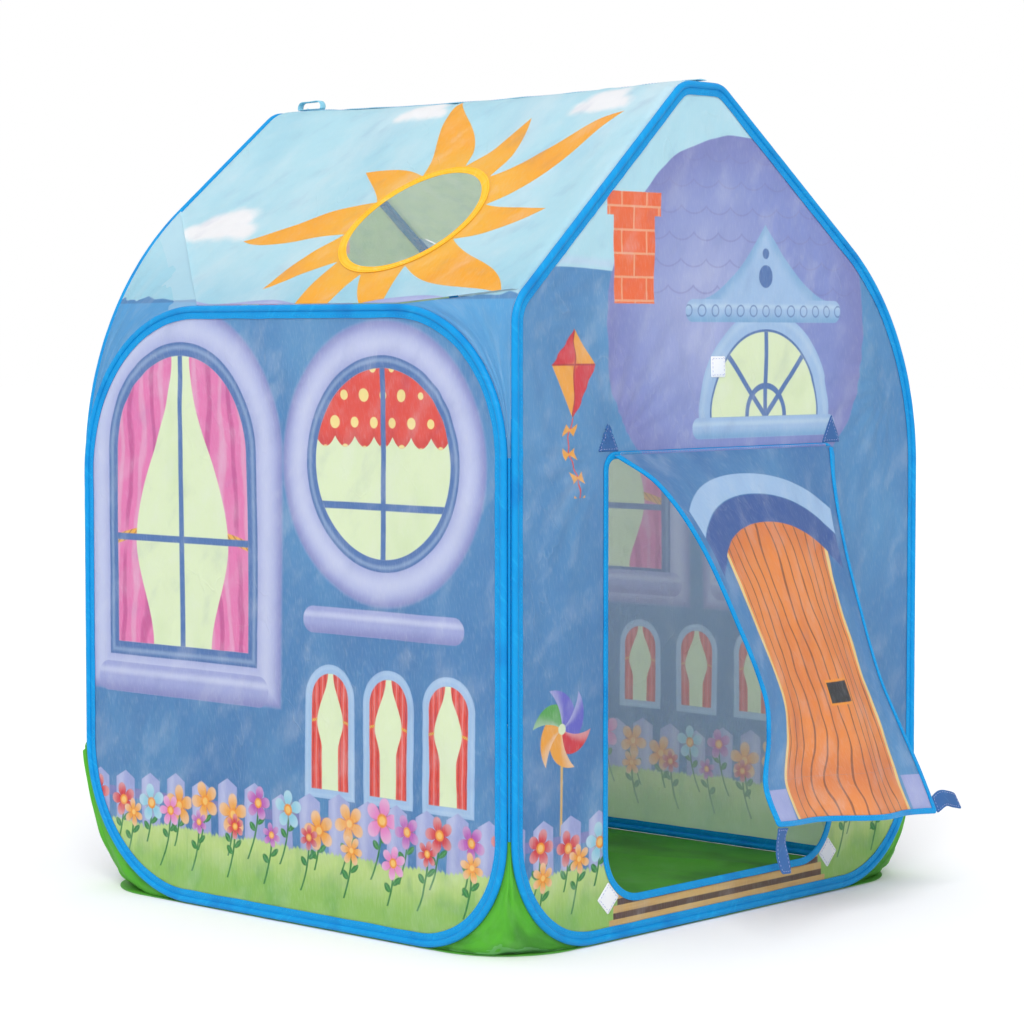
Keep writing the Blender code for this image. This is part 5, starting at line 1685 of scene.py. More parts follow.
@dataclass
class Hoop:
    """A hoop of the frame: its tape, its printed panel and its steel wire."""

    name: str
    side: Side
    corners: Corners
    drape: Drape
    tape_face: float = 0.0155
    panel_inset: float = 0.009
    stitch_inset: float = 0.0126
    tube: float = TUBE
    keep: float = 0.28
    lap_middle: float = -0.020
    lap_half: float = 0.016
    lap_thickness: float = 0.0006

    @property
    def body(self) -> str:
        """The CAD body on which the hoop rides."""
        return self.name if self.name in ("front", "rear") else f"{self.name}_wall"

    def outline(self, pitch: float = 0.004) -> list[Vector]:
        """The hoop's outer edge in its side's places."""
        return rounded(self.side_corners(), pitch)

    def side_corners(self) -> Corners:
        """The corners in the side's own places, anticlockwise."""
        if self.side.way > 0:
            return self.corners
        return tuple((-place, height, radius) for place, height, radius in reversed(self.corners))

    def build(self, wardrobe: Wardrobe, sewing: Sewing, holes: Sequence[Line] = ()) -> Panel:
        """Builds the tape and the panel and gives the wire its steel.

        Args:
            wardrobe: The finishes.
            sewing: Where the stitches are noted.
            holes: Openings in the panel.

        Returns:
            The panel, for what is sewn on it.
        """
        line = self.outline()
        form, length = taped(line, folded_tape(self.tape_face, self.tube), self.side.spot)
        self.lapped(form)
        tape = form.made(f"{self.name}_hoop_tape", wardrobe.tape, length, True)
        dress(tape, self.body, "hoop_tape", f"{self.name}_binding")
        sewing.through(self.body, moved_in(line, self.stitch_inset), self.side.spot)
        panel = Panel(self.side, moved_in(line, self.panel_inset), holes, self.drape)
        cloth = Form().shell(panel.cut, panel.surface, CLOTH_HALF)
        sheet = cloth.made(f"{self.name}_cloth", getattr(wardrobe, self.name))
        dress(sheet, self.body, "printed_wall", f"{self.name}_panel")
        crumple(sheet, self.side.out, self.side.origin, self.keep)
        panel.cut.extent()
        panel.cut.area()
        for part, steel in (("wire", wardrobe.wire), ("ferrule", wardrobe.ferrule)):
            materials = frame["nodes"][f"{self.name}_{part}"].data.materials
            materials.clear()
            materials.append(steel)
        LOG.info("%s hoop: tape %.2f m, cloth %.3f m2", self.name, length, panel.cut.area())
        return panel

    def lapped(self, form: Form) -> None:
        """Thickens the tape where its end is lapped over its start, on the lowest run."""
        for index, point in enumerate(form.points):
            along = (point - self.side.origin).dot(self.side.right)
            if point.z < 2 * self.tape_face and abs(along - self.lap_middle) < self.lap_half:
                lift = (point - self.side.origin).dot(self.side.out)
                if abs(lift) > 0.0007:
                    form.points[index] = point + self.side.out * math.copysign(self.lap_thickness, lift)


@dataclass
class Doorway:
    """The door opening's edge tape and the patches round it."""

    front: Hoop
    tape_face: float = 0.008
    foot_radius: float = 0.055
    head_radius: float = 0.012
    patch: float = 0.026
    hold_patch: float = 0.024
    gap: float = 0.0003

    def opening(self, pitch: float = 0.003) -> list[Vector]:
        """The opening's visible edge."""
        left = DOOR_CENTRE - DOOR_WIDTH / 2
        low, high = (left, DOOR_SILL), (left + DOOR_WIDTH, DOOR_TOP)
        return rounded(box_corners(low, high, self.foot_radius, self.head_radius), pitch)

    def hole(self) -> list[Vector]:
        """The hole in the panel, hidden in the tape."""
        return moved_in(self.opening(0.004), -0.0015)

    def build(self, wardrobe: Wardrobe, sewing: Sewing, panel: Panel) -> None:
        """Builds the tape, the patches and their stitches."""
        line = self.opening()
        form, length = taped(line, folded_tape(self.tape_face), self.front.side.spot, True, -1)
        tape = form.made("door_edge_tape", wardrobe.tape, length, True)
        dress(tape, "front", "hoop_tape", "door_edge_binding")
        sewing.through("front", moved_in(line, -self.tape_face * STITCH_SHARE), self.front.side.spot)
        foot = Vector((DOOR_WIDTH / 2 - self.foot_radius, DOOR_SILL + self.foot_radius))
        reach = self.foot_radius + self.tape_face + self.gap + self.patch / 2
        for name, way in (("left", -1), ("right", 1)):
            middle = Vector((DOOR_CENTRE + way * foot.x, foot.y)) + Vector((way, -1.0)).normalized() * reach
            square = self.square(middle, self.patch, math.pi / 4)
            self.sewn_patch(f"closure_patch_{name}", square, panel, sewing, wardrobe.patch, "patch")
        middle = Vector((DOOR_CENTRE - 0.012, DOOR_TOP + 0.100))
        square = self.square(middle, self.hold_patch, 0.0)
        self.sewn_patch("hold_up_patch", square, panel, sewing, wardrobe.patch, "patch")
        low = DOOR_TOP + self.tape_face + self.gap
        for name, way in (("left", -1), ("right", 1)):
            middle = DOOR_CENTRE + way * DOOR_WIDTH / 2
            shape = ((-0.018, 0.0), (0.018, 0.0), (0.0, 0.034))
            corners = [Vector((middle + aside, low + up)) for aside, up in shape]
            self.sewn_patch(f"door_corner_patch_{name}", corners, panel, sewing, wardrobe.tab, "dark_blue")

    @staticmethod
    def square(middle: Vector, size: float, angle: float) -> list[Vector]:
        """Anticlockwise corners of a square turned about its middle."""
        spots = [Vector(spot) * (size / 2) for spot in ((-1, -1), (1, -1), (1, 1), (-1, 1))]
        return [middle + turned(spot, angle) for spot in spots]

    @staticmethod
    def sewn_patch(node: str, corners: Line, panel: Panel, sewing: Sewing,
                   finish: Material, slot: str) -> None:
        """A thick little patch with soft edges and a row of stitches inside them."""
        line = rounded([(corner.x, corner.y, 0.0016) for corner in corners], 0.0011)
        cut = Cut(line, (), 0.0014)

        def surface(across: float, up: float, lift: float) -> Vector:
            """The patch's skin, which is thinner at its edge and along its seam."""
            edge = cut.distance((across, up))
            crown = 0.0009 * ease(edge, -0.0002, 0.0009) - 0.00035 * math.exp(-((edge - 0.0026) / 0.0006) ** 2)
            nap = 0.00016 * ripple(across * 900.0, up * 900.0, 2.0) * ease(edge, 0.002, 0.004)
            return panel.surface(across, up, 0.0006 + (crown + nap if lift > 0 else 0.0))

        piece = Form().shell(cut, surface, 0.0001).made(f"{node}_cloth", finish)
        dress(piece, "front", slot, node)

        def top(across: float, up: float, lift: float) -> Vector:
            """The patch's top, on which its stitches lie."""
            return panel.surface(across, up, 0.0012 + lift * 0.1)

        sewing.along("front", "pale", moved_in(line, 0.0027), top, 0.001, True)


@lru_cache(maxsize=None)
def smooth_share(table: tuple[tuple[float, ...], ...], station: float) -> tuple[float, ...]:
    """Values of a table at one station, read from a smooth curve through its rows."""
    index = 0
    while index < len(table) - 2 and table[index + 1][0] < station:
        index += 1
    low, high = table[index], table[index + 1]
    before, after = table[max(index - 1, 0)], table[min(index + 2, len(table) - 1)]
    span = high[0] - low[0]
    share = (station - low[0]) / span
    values = []
    for column in range(1, len(low)):
        slope_low = (high[column] - before[column]) / max(high[0] - before[0], span) * span
        slope_high = (after[column] - low[column]) / max(after[0] - low[0], span) * span
        values.append(
            (2 * share ** 3 - 3 * share ** 2 + 1) * low[column]
            + (share ** 3 - 2 * share ** 2 + share) * slope_low
            + (3 * share ** 2 - 2 * share ** 3) * high[column]
            + (share ** 3 - share ** 2) * slope_high
        )
    return tuple(values)


@dataclass
class Flap:
    """The door flap, pulled aside, with its edge tape, its seam and its two tabs."""

    fold_depth: float = 0.014
    wrinkle: float = 0.0022
    tape_face: float = 0.008
    tab_length: float = 0.050
    tab_width: float = 0.021
    tab_gap: float = 0.0013
    seam_half: float = 0.003

    def middle(self, across: float, drop: float) -> Vector:
        """A point of the flap's middle, by its flat place."""
        share = across / FLAP_WIDTH + 0.5
        station = min(max(-drop / FLAP_DROP, 0.0), 1.02)
        ends = []
        for way, table in ((-1, FLAP_LEFT), (1, FLAP_RIGHT)):
            sideways, outward, down = smooth_share(table, round(station, 5))
            shift = way * FLAP_WIDTH / 2 + sideways * FLAP_WIDTH
            ends.append(FLAP_HINGE + Vector((shift, -outward * FLAP_DROP, -down * FLAP_DROP)))
        wave = math.sin(2 * math.pi * 1.5 * share + 2.2) * math.sin(math.pi * share)
        fine = ripple(across * 26.0 - drop * 5.0, drop * 4.0, 3.0)
        fine += 0.45 * ripple(across * 60.0, drop * 22.0, 4.0)
        fine *= ease(station, 0.02, 0.35) * ease(FLAP_WIDTH / 2 - abs(across), 0.004, 0.03)
        fine *= ease(FLAP_DROP + drop, 0.004, 0.04)
        point = ends[0].lerp(ends[1], share)
        return point + Vector((0.0, -self.fold_depth * wave * station - self.wrinkle * fine, 0.0))

    def surface(self, across: float, up: float, lift: float) -> Vector:
        """A point off the flap's middle, on its outer side where the lift is positive."""
        step = 0.0015
        right = self.middle(across + step, up) - self.middle(across - step, up)
        rise = self.middle(across, min(up + step, 0.0)) - self.middle(across, up - step)
        return self.middle(across, up) + right.cross(rise).normalized() * lift

    def build(self, wardrobe: Wardrobe, sewing: Sewing) -> None:
        """Builds the flap and all that is sewn to it."""
        half = FLAP_WIDTH / 2
        corners = box_corners((-half, -FLAP_DROP), (half, 0.0), 0.006, 0.001)
        cut = Cut(rounded(corners, 0.004), (), 0.0045)
        form = Form().shell(cut, self.surface, 0.0003)
        flap = form.made("door_flap_cloth", wardrobe.flap)
        dress(flap, "flap", "printed_door", "door_flap")
        open_line = self.border(corners)
        form, _ = taped(open_line, folded_tape(self.tape_face), self.surface, False)
        tape = form.made("flap_edge_tape", wardrobe.tape, 0.0, True)
        dress(tape, "flap", "hoop_tape", "flap_binding")
        miters = inward(open_line, False)
        inner = [spot + miter * self.tape_face * STITCH_SHARE for spot, miter in zip(open_line, miters)]
        sewing.through("flap", inner, self.surface, False)
        tabs = [
            self.tab("flap_tab_left", -half, Vector((0.0, 0.0, -1.0)), Vector((0.0, -1.0, 0.0)), LEFT_TAB,
                     wardrobe, sewing),
            self.tab("flap_tab_right", half, Vector((1.0, 0.0, 0.0)), Vector((0.0, 0.0, 1.0)), RIGHT_TAB,
                     wardrobe, sewing),
        ]
        self.seam(wardrobe, sewing)
        LOG.info("door flap: %.3f x %.3f m", FLAP_WIDTH, FLAP_DROP)

    def border(self, corners: Corners) -> list[Vector]:
        """The taped edge, from the hinge down the left side, along the foot and up the right side."""
        line = rounded(corners, 0.003)
        free = [spot for spot in line if spot.y < -0.0015 or abs(spot.x) > FLAP_WIDTH / 2 - 0.0001]
        start = min(range(len(free)), key=lambda index: abs(free[index].x + FLAP_WIDTH / 2) - free[index].y)
        ordered = free[start:] + free[:start]
        return [spot for spot in ordered if spot.y < -0.0008]

    def tab(self, node: str, corner: float, along: Vector, lift: Vector, shape: tuple, wardrobe: Wardrobe,
            sewing: Sewing) -> Object:
        """A doubled strip of cloth that starts just past the tape at a lower corner."""
        foot = self.middle(corner, -FLAP_DROP)
        beside = (corner + 0.02, -FLAP_DROP) if corner < 0 else (corner, 0.02 - FLAP_DROP)
        across = (self.middle(*beside) - foot).normalized() * self.tab_width
        start = foot + along * self.tab_gap
        out = across.normalized().cross(along).normalized()
        half = self.tab_width / 2
        corners = ((0.0, -half, 0.0015), (self.tab_length, -half, 0.003), (self.tab_length, half, 0.003),
                   (0.0, half, 0.0015))
        cut = Cut(rounded(corners, 0.0016), (), 0.0018)

        def surface(travel: float, width: float, rise: float) -> Vector:
            """The strip's skin, bent along its length and pressed flat along its seams."""
            share = min(max(travel / self.tab_length, 0.0), 1.0)
            raised = smooth_share(shape, round(share, 4))[0] * self.tab_length
            curl = 0.0012 * math.sin(share * 7.0) * (width / half)
            edge = cut.distance((travel, width))
            pressed = 0.0002 * math.exp(-((edge - 0.0026) / 0.0007) ** 2)
            body = 0.00022 + 0.00040 * ease(edge, 0.0, 0.0012) - pressed
            spot = start + along * travel + lift * raised + across * (0.5 + width / self.tab_width)
            return spot + out * (curl + math.copysign(body, rise) + rise)

        piece = Form().shell(cut, surface, 0.00005).made(f"{node}_cloth", wardrobe.tab, 0.0, True)
        dress(piece, "flap", "dark_blue", node)
        row = moved_in(rounded(corners, 0.002), 0.0026)
        for rise in (0.0002, -0.0002):
            sewing.along("flap", "pale", row, surface, rise, True)
        return piece

    def seam(self, wardrobe: Wardrobe, sewing: Sewing) -> None:
        """The strip over the door by which the flap's upper edge is sewn to the front panel."""
        half = FLAP_WIDTH / 2 - 0.012
        middle = Vector((FLAP_HINGE.x, FLAP_HINGE.z))
        away = Vector((half, self.seam_half))
        cut = Cut(rounded(box_corners(tuple(middle - away), tuple(middle + away), 0.0012), 0.0020), (), 0.0018)

        def surface(across: float, up: float, lift: float) -> Vector:
            """The strip's rolled skin."""
            roll = 0.0003 * ease(cut.distance((across, up)), 0.0, 0.0012)
            roll += 0.00012 * ripple(across * 160.0, up, 1.0)
            return FRONT.spot(across, up, 0.0030 + roll if lift > 0 else 0.0017)

        strip = Form().shell(cut, surface, 0.001).made("flap_seam_strip", wardrobe.front)
        dress(strip, "front", "printed_wall", "flap_seam")
        start = middle + Vector((0.002 - half, 0.0018))
        row = [start + Vector((step * 0.004, 0.0)) for step in range(int(half / 0.002) - 1)]

        def top(across: float, up: float, lift: float) -> Vector:
            """The strip's top, on which its stitches lie."""
            return FRONT.spot(across, up, 0.0031 + lift * 0.1)

        sewing.along("front", "azure", row, top, 0.001)


@dataclass
class Slope:
    """One slope of the roof, from its eave over the rounded knee to the ridge."""

    name: str
    way: int
    eave: float
    gable_corner: int
    knee_corner: int
    wall: Corners
    drape: Drape
    sag: float = 0.007
    knee_reach: float = 0.020
    keep: float = 0.30
    tuck: float = 0.0042

    def __post_init__(self) -> None:
        """Works out the slope's ends."""
        self.foot = Vector((self.way * GABLE_HALF, self.eave))
        self.knees = [Vector(corners[self.knee_corner][:2]) for corners in (FRONT_CORNERS, REAR_CORNERS)]
        self.run = (self.knees[0] - self.foot).normalized()
        self.out = Vector((self.way * self.run.y, 0.0, -self.way * self.run.x)).normalized()
        if self.out.z < 0:
            self.out = -self.out

    def share(self, along: float) -> float:
        """Share of the way from the front gable to the rear one."""
        return (along + GABLE_PLANE) / (2 * GABLE_PLANE)

    def base(self, along: float, up: float) -> Vector:
        """A point of the taut slope, by its place along the tent and its distance up from the eave."""
        share = self.share(along)
        knee = self.knees[0].lerp(self.knees[1], share)
        rise = (knee - self.foot).normalized()
        past = up - (knee - self.foot).length
        level = Vector((-self.way, 0.0))
        if past < -self.knee_reach:
            flat = self.foot + rise * up
        elif past > self.knee_reach:
            flat = knee + level * past
        else:
            bend = (past + self.knee_reach) / (2 * self.knee_reach)
            flat = (knee - rise * self.knee_reach) * (1 - bend) ** 2 + knee * (2 * bend * (1 - bend))
            flat += (knee + level * self.knee_reach) * bend ** 2
        return Vector((flat.x, along, flat.y))

    def surface(self, across: float, up: float, lift: float) -> Vector:
        """A point of the hung slope, by its print's place, lifted a little more."""
        along = across * self.way
        held = ease(self.cut.distance((across, min(up, self.top(along) - 0.07))), 0.002, 0.05)
        hang = self.sag * math.sin(math.pi * min(max(self.share(along), 0.0), 1.0)) * ease(up, 0.01, 0.20)
        loose = self.drape.lift(across, up, self.cut.distance((across, min(up, self.top(along) - 0.05))))
        height = 0.0013 + lift + loose * ease(up, 0.0, 0.03) - hang * (held * 0.5 + 0.5)
        return self.base(along, up) + self.out * (height - self.dive(along))

    def dive(self, along: float) -> float:
        """How far the cloth dips beside a gable's hoop, where it is sewn to the side of the tape's tube."""
        return 0.0044 * math.exp(-((GABLE_PLANE - self.tuck - abs(along)) / 0.0045) ** 2)

    def top(self, along: float) -> float:
        """Distance from the eave to the ridge's middle, up the slope and over the knee."""
        knee = self.knees[0].lerp(self.knees[1], self.share(along))
        return (knee - self.foot).length + PEAK_FLAT / 2

    def reach(self, corners: Corners) -> float:
        """How far up the slope a gable's shoulder arc ends."""
        arc = corner_arc(corners, self.gable_corner)
        return ((arc[3] if self.way > 0 else arc[0]) - self.foot).length

    def outline(self) -> list[Vector]:
        """The flat cut's edge in the print's places, anticlockwise."""
        front = corner_arc(self.wall, 3)[0].x
        rear = corner_arc(self.wall, 2)[3].x
        end = GABLE_PLANE - self.tuck
        corners = [
            Vector((front, 0.0)),
            Vector((rear, 0.0)),
            Vector((end, self.reach(REAR_CORNERS))),
            Vector((end, self.top(end))),
            Vector((-end, self.top(-end))),
            Vector((-end, self.reach(FRONT_CORNERS))),
        ]
        if self.way < 0:
            corners = [Vector((-corner.x, corner.y)) for corner in reversed(corners)]
        line = []
        for index, here in enumerate(corners):
            after = corners[(index + 1) % len(corners)]
            steps = max(1, round((after - here).length / 0.005))
            line += [here.lerp(after, step / steps) for step in range(steps)]
        return line

    def build(self, wardrobe: Wardrobe, holes: Sequence[Line] = ()) -> Object:
        """Builds the slope's cloth."""
        self.cut = Cut(self.outline(), holes)
        form = Form().shell(self.cut, self.surface, CLOTH_HALF)
        cloth = form.made(f"{self.name}_roof_cloth", getattr(wardrobe, f"{self.name}_roof"), 0.0, False, 70.0)
        dress(cloth, f"{self.name}_roof", "roof_sky", f"{self.name}_roof_panel")
        self.fold(cloth)
        self.cut.extent()
        self.cut.area()
        LOG.info("%s roof slope: cloth %.3f m2", self.name, self.cut.area())
        return cloth

    def fold(self, piece: Object) -> None:
        """Gives a piece on the slope a mesh of its own."""
        crumple(piece, self.out, self.base(0.0, 0.1), self.keep)


@dataclass
class Roof:
    """Both slopes, the skylight, the ridge tape and the hanging loop."""

    skylight: Vector = field(default_factory=lambda: Vector((0.095, 0.150)))
    radius: float = 0.092
    ring_face: float = 0.010
    ridge_width: float = 0.016
    ridge_steps: int = 150
    stitch_edge: float = 0.0022

    def circle(self, radius: float, count: int = 150) -> list[Vector]:
        """A circle about the skylight's middle, in the left slope's places."""
        start = Vector((radius, 0.0))
        return [self.skylight + turned(start, 2 * math.pi * step / count) for step in range(count)]

    def build(self, wardrobe: Wardrobe, sewing: Sewing) -> None:
        """Builds the roof."""
        left = Slope("left", -1, LEFT_EAVE, 5, 4, LEFT_CORNERS, Drape(0.004, 0.0024, 0.0014, 0.5, 31.0))
        right = Slope("right", 1, RIGHT_EAVE, 2, 3, RIGHT_CORNERS, Drape(0.004, 0.0024, 0.0014, -0.5, 37.0))
        left.build(wardrobe, (self.circle(self.radius),))
        right.build(wardrobe)
        cut = Cut(self.circle(self.radius + 0.002), (), 0.005)

        def veil(across: float, up: float, lift: float) -> Vector:
            """The net, a little slack in its ring."""
            slack = 0.003 * ease(cut.distance((across, up)), 0.004, 0.06)
            wave = 0.0008 * ripple(across * 34.0, up * 34.0, 8.0)
            taut = ease((Vector((across, up)) - self.skylight).length, self.radius, self.radius * 0.6)
            loose = left.drape.lift(across, up, left.cut.distance((across, up))) * taut
            return left.surface(across, up, 0.0) + left.out * (lift + 0.0008 - slack + wave - loose)

        net = Form().shell(cut, veil, 0.0001).made("skylight_mesh", wardrobe.net)
        dress(net, "left_roof", "net", "skylight_net")
        left.fold(net)
        line = self.circle(self.radius - self.ring_face / 2)

        def ring(across: float, up: float, lift: float) -> Vector:
            """The skylight's tape, flat on the cloth's edge."""
            return left.surface(across, up, 0.0008 + lift * 0.55)

        form, length = taped(line, folded_tape(self.ring_face), ring, True, -1)
        tape = form.made("skylight_tape", wardrobe.yellow, length, True)
        dress(tape, "left_roof", "yellow_tape", "skylight_binding")
        left.fold(tape)
        cut.extent()
        cut.area()
        for shift in (self.stitch_edge, self.ring_face - self.stitch_edge):
            sewing.along("left_roof", "gold", moved_in(line, -shift), ring, 0.0017, True)
        self.ridge(wardrobe, sewing, right)
        self.loop(wardrobe, sewing, right)

    def ridge(self, wardrobe: Wardrobe, sewing: Sewing, slope: Slope) -> None:
        """Builds the tape along the ridge, which sags with the cloth."""
        rings = []
        flats = []
        half = self.ridge_width / 2
        for step in range(self.ridge_steps + 1):
            along = -GABLE_PLANE + 2 * GABLE_PLANE * step / self.ridge_steps
            ring = []
            flat = []
            for share, lift in RIDGE_SECTION:
                place = share * half
                rise = lift + (0.0005 * ripple(along * 60.0, place * 200.0, 6.0) if lift else 0.0)
                middle = slope.surface(along, slope.top(along), slope.dive(along))
                ring.append(middle + Vector((place, 0.0, 0.0007 + max(rise, 0.0))))
                flat.append((along, place))
            rings.append(ring)
            flats.append(flat)
        tape = Form().skin(rings, flats, False).made("ridge_strip", wardrobe.aqua, 0.0, True)
        dress(tape, "right_roof", "roof_tape", "ridge_tape")
        slope.fold(tape)
        for place in (-half * 0.7, half * 0.7):
            run = [-0.34 + 0.006 * index for index in range(114)]
            aside = Vector((place, 0.0, 0.0018))
            points = [slope.surface(along, slope.top(along), 0.0) + aside for along in run]
            sewing.add("right_roof", "pale", points, [UPRIGHT] * len(points))

    def loop(self, wardrobe: Wardrobe, sewing: Sewing, slope: Slope) -> None:
        """Builds the flat loop of tape at the rear end of the ridge."""
        rear = GABLE_PLANE - 0.010
        centre = slope.surface(rear - 0.022, slope.top(rear - 0.022), 0.0)
        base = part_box("hanging_loop")[0].z
        corners = ((-0.044, 0.0, 0.0025), (0.0, 0.0, 0.0025), (-0.002, 0.011, 0.008), (-0.040, 0.012, 0.009))
        outline = rounded([(rear + back, base + up, radius) for back, up, radius in corners], 0.0015)
        inner = moved_in(outline, 0.0013)
        rings = []
        flats = []
        along = 0.0
        for index, (outer_spot, inner_spot) in enumerate(zip(outline, inner)):
            along += (outer_spot - outline[index - 1]).length if index else 0.0
            skew = 0.0009 * math.sin(index * 0.30) + 0.25 * (outer_spot.y - base)
            edge = outer_spot.lerp(inner_spot, 0.5)
            ring = [Vector((centre.x + place + skew, spot.x, spot.y)) for place, spot in
                    ((-0.005, edge), (-0.0042, outer_spot), (0.0042, outer_spot), (0.005, edge),
                     (0.0042, inner_spot), (-0.0042, inner_spot))]
            rings.append(ring)
            flats.append([(along, place) for place in (0.0, 0.001, 0.009, 0.010, 0.011, 0.019)])
        form = Form().skin(rings, flats, True)
        loop = form.made("ridge_loop", wardrobe.aqua, along, True)
        dress(loop, "right_roof", "hoop_tape", "hanging_loop")
        points = [Vector((centre.x + place, rear - 0.020, base + 0.0018)) for place in (-0.004, 0.0, 0.004)]
        sewing.add("right_roof", "azure", points, [UPRIGHT] * 3)


class Corner(Enum):
    """What an upright corner does as the tent folds."""

    CLOSES = "its two hoops come to lie on each other"
    OPENS = "its two hoops come to lie in one line"
    PARTS = "its two hoops are free of each other"


@dataclass
class Gusset:
    """Cloth that fills the corner between the round corners of a wall hoop and a gable hoop."""

    node: str
    wall: Corners
    wall_side: int
    wall_corner: int
    gable: Corners
    gable_side: int
    gable_corner: int
    foot: bool
    rows: int = 34
    columns: int = 26
    bulge: float = 0.25
    reach: float = 0.90
    bend_span: float = 0.035
    tuck: float = 0.0034
    lining_gap: float = 0.0014
    half: float = 0.0003
    pitch: float = 0.007
    keep: float = 0.02

    def curve(self, corners: Corners, index: int, lead: float, reach: float, reverse: bool) -> list[Vector]:
        """Points along a corner's arc and a straight lead, moved in under the tape."""
        start, centre, turn, end = corner_arc(corners, index)
        radius = (start - centre).length
        first = end - centre if reverse else start - centre
        way = -1 if reverse else 1
        run = turned(first.normalized(), way * math.pi / 2)
        total = lead + radius * turn * reach
        points = []
        for step in range(self.rows + 1):
            gone = total * step / self.rows - lead
            if gone < 0:
                points.append(centre + first + run * gone - first.normalized() * SEAM_LAP)
            else:
                points.append(centre + turned(first.normalized(), way * gone / radius) * (radius - SEAM_LAP))
        return points

    def grid(self) -> tuple[list[list[Vector]], Vector]:
        """Rows of points between the two arcs, and the way outwards."""
        out = Vector((self.wall_side, self.gable_side, 0.0)).normalized()
        reach = self.reach if self.foot else 1.0
        wall = self.curve(self.wall, self.wall_corner, 0.0, reach, self.wall_corner in (1, 3))
        lead = 0.0
        if not self.foot:
            start, _, _, end = corner_arc(self.gable, self.gable_corner)
            lead = max((end if self.gable_corner == 5 else start).y - wall[0].y, 0.0)
        gable = self.curve(self.gable, self.gable_corner, lead, reach, self.gable_corner in (1, 5))
        seed = self.wall_side * 3.0 + self.gable_side * 7.0 + (0.5 if self.foot else 0.0)
        grid = []
        for index, (first, second) in enumerate(zip(wall, gable)):
            start = Vector(((WALL_PLANE - self.tuck) * self.wall_side, first.x, first.y))
            end = Vector((second.x, (GABLE_PLANE - self.tuck) * self.gable_side, second.y))
            span = (end - start).length
            down = index / self.rows
            row = []
            for column in range(self.columns + 1):
                share = column / self.columns
                arch = math.sin(math.pi * share)
                folds = ripple(share * 5.5, down * 2.2, seed)
                folds += 0.5 * ripple(share * 12.0, down * 6.0, seed + 2.0)
                push = (self.bulge * span if self.foot else -0.02 * span) * arch
                push += folds * min(span, 0.10) * (0.085 if self.foot else 0.035) * arch ** 0.7
                row.append(start.lerp(end, share) + out * push)
            grid.append(row)
        if self.foot:
            self.close_foot(grid, out)
        return grid, out

    def close_foot(self, grid: list[list[Vector]], out: Vector) -> None:
        """Turns the bag's lower rows in under the floor's edge, on the ground."""
        for travel, height in ((0.004, 0.0014), (0.014, 0.0008), (0.030, 0.0007)):
            row = []
            for column, point in enumerate(grid[self.rows]):
                arch = math.sin(math.pi * column / self.columns)
                row.append(Vector((*(point - out * travel * arch).xy, min(point.z, height + 0.0003))))
            grid.append(row)

    def build(self, wardrobe: Wardrobe, wall_body: str, gable_body: str, corner: Corner) -> None:
        """Builds the gusset, with a lining on the wall's side where the corner opens.

        Args:
            wardrobe: The finishes.
            wall_body: The body of the wall's hoop.
            gable_body: The body of the gable's hoop.
            corner: What the corner does as the tent folds.
        """
        cloth = self.sewn(wardrobe, f"{self.node}_cloth", 0.0)
        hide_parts(self.node)
        if corner is Corner.CLOSES:
            hinge = Vector((HINGE_X * self.wall_side, HINGE_Y * self.gable_side, 0.0))
            along = Vector((-self.wall_side, self.gable_side, 0.0)).normalized() * self.bend_span
            tuple(hinge - along)
            tuple(hinge + along)
            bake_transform(cloth)
            return
        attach(cloth, gable_body)
        crumple(cloth, Vector((0.0, 1.0, 0.0)), Vector((0.0, GABLE_PLANE * self.gable_side, 0.0)), self.keep)
        if corner is Corner.OPENS:
            lining = self.sewn(wardrobe, f"{self.node}_lining", self.lining_gap)
            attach(lining, wall_body)
            crumple(lining, Vector((1.0, 0.0, 0.0)), Vector((WALL_PLANE * self.wall_side, 0.0, 0.0)), self.keep)

    def sewn(self, wardrobe: Wardrobe, name: str, depth: float) -> Object:
        """One layer of the gusset.

        Args:
            wardrobe: The finishes.
            name: The piece's name.
            depth: How far the layer lies inside the outer one.

        Returns:
            The piece, with its finish, but on no body yet.
        """
        grid, out = self.grid()
        rows, columns = len(grid), len(grid[0])
        normals = []
        for row in range(rows):
            for column in range(columns):
                down = grid[min(row + 1, rows - 1)][column] - grid[max(row - 1, 0)][column]
                across = grid[row][min(column + 1, columns - 1)] - grid[row][max(column - 1, 0)]
                normal = across.cross(down).normalized()
                normals.append(normal if normal.dot(out) > 0 or abs(normal.z) > 0.7 else -normal)
        spots = [point - out * depth for row in grid for point in row]
        eave = LEFT_EAVE if self.wall_side < 0 else RIGHT_EAVE
        flats = [(column * self.pitch, row * self.pitch if self.foot else grid[row][column].z - eave)
                 for row in range(rows) for column in range(columns)]
        corners = [row * columns + column for row in range(rows - 1) for column in range(columns - 1)]
        faces = [(corner, corner + 1, corner + columns + 1, corner + columns) for corner in corners]
        outer, inner = ([spot + normal * lift for spot, normal in zip(spots, normals)]
                        for lift in (self.half, -self.half))
        form = Form().doubled(outer, inner, flats, faces)
        finish = wardrobe.floor if self.foot else wardrobe.gusset
        cloth = form.made(name, finish, 0.0, True)
        width = max(sum((row[index + 1] - row[index]).length for index in range(columns - 1)) for row in grid)
        "left_hoop_tape" if self.wall_side < 0 else "right_hoop_tape"
        return cloth


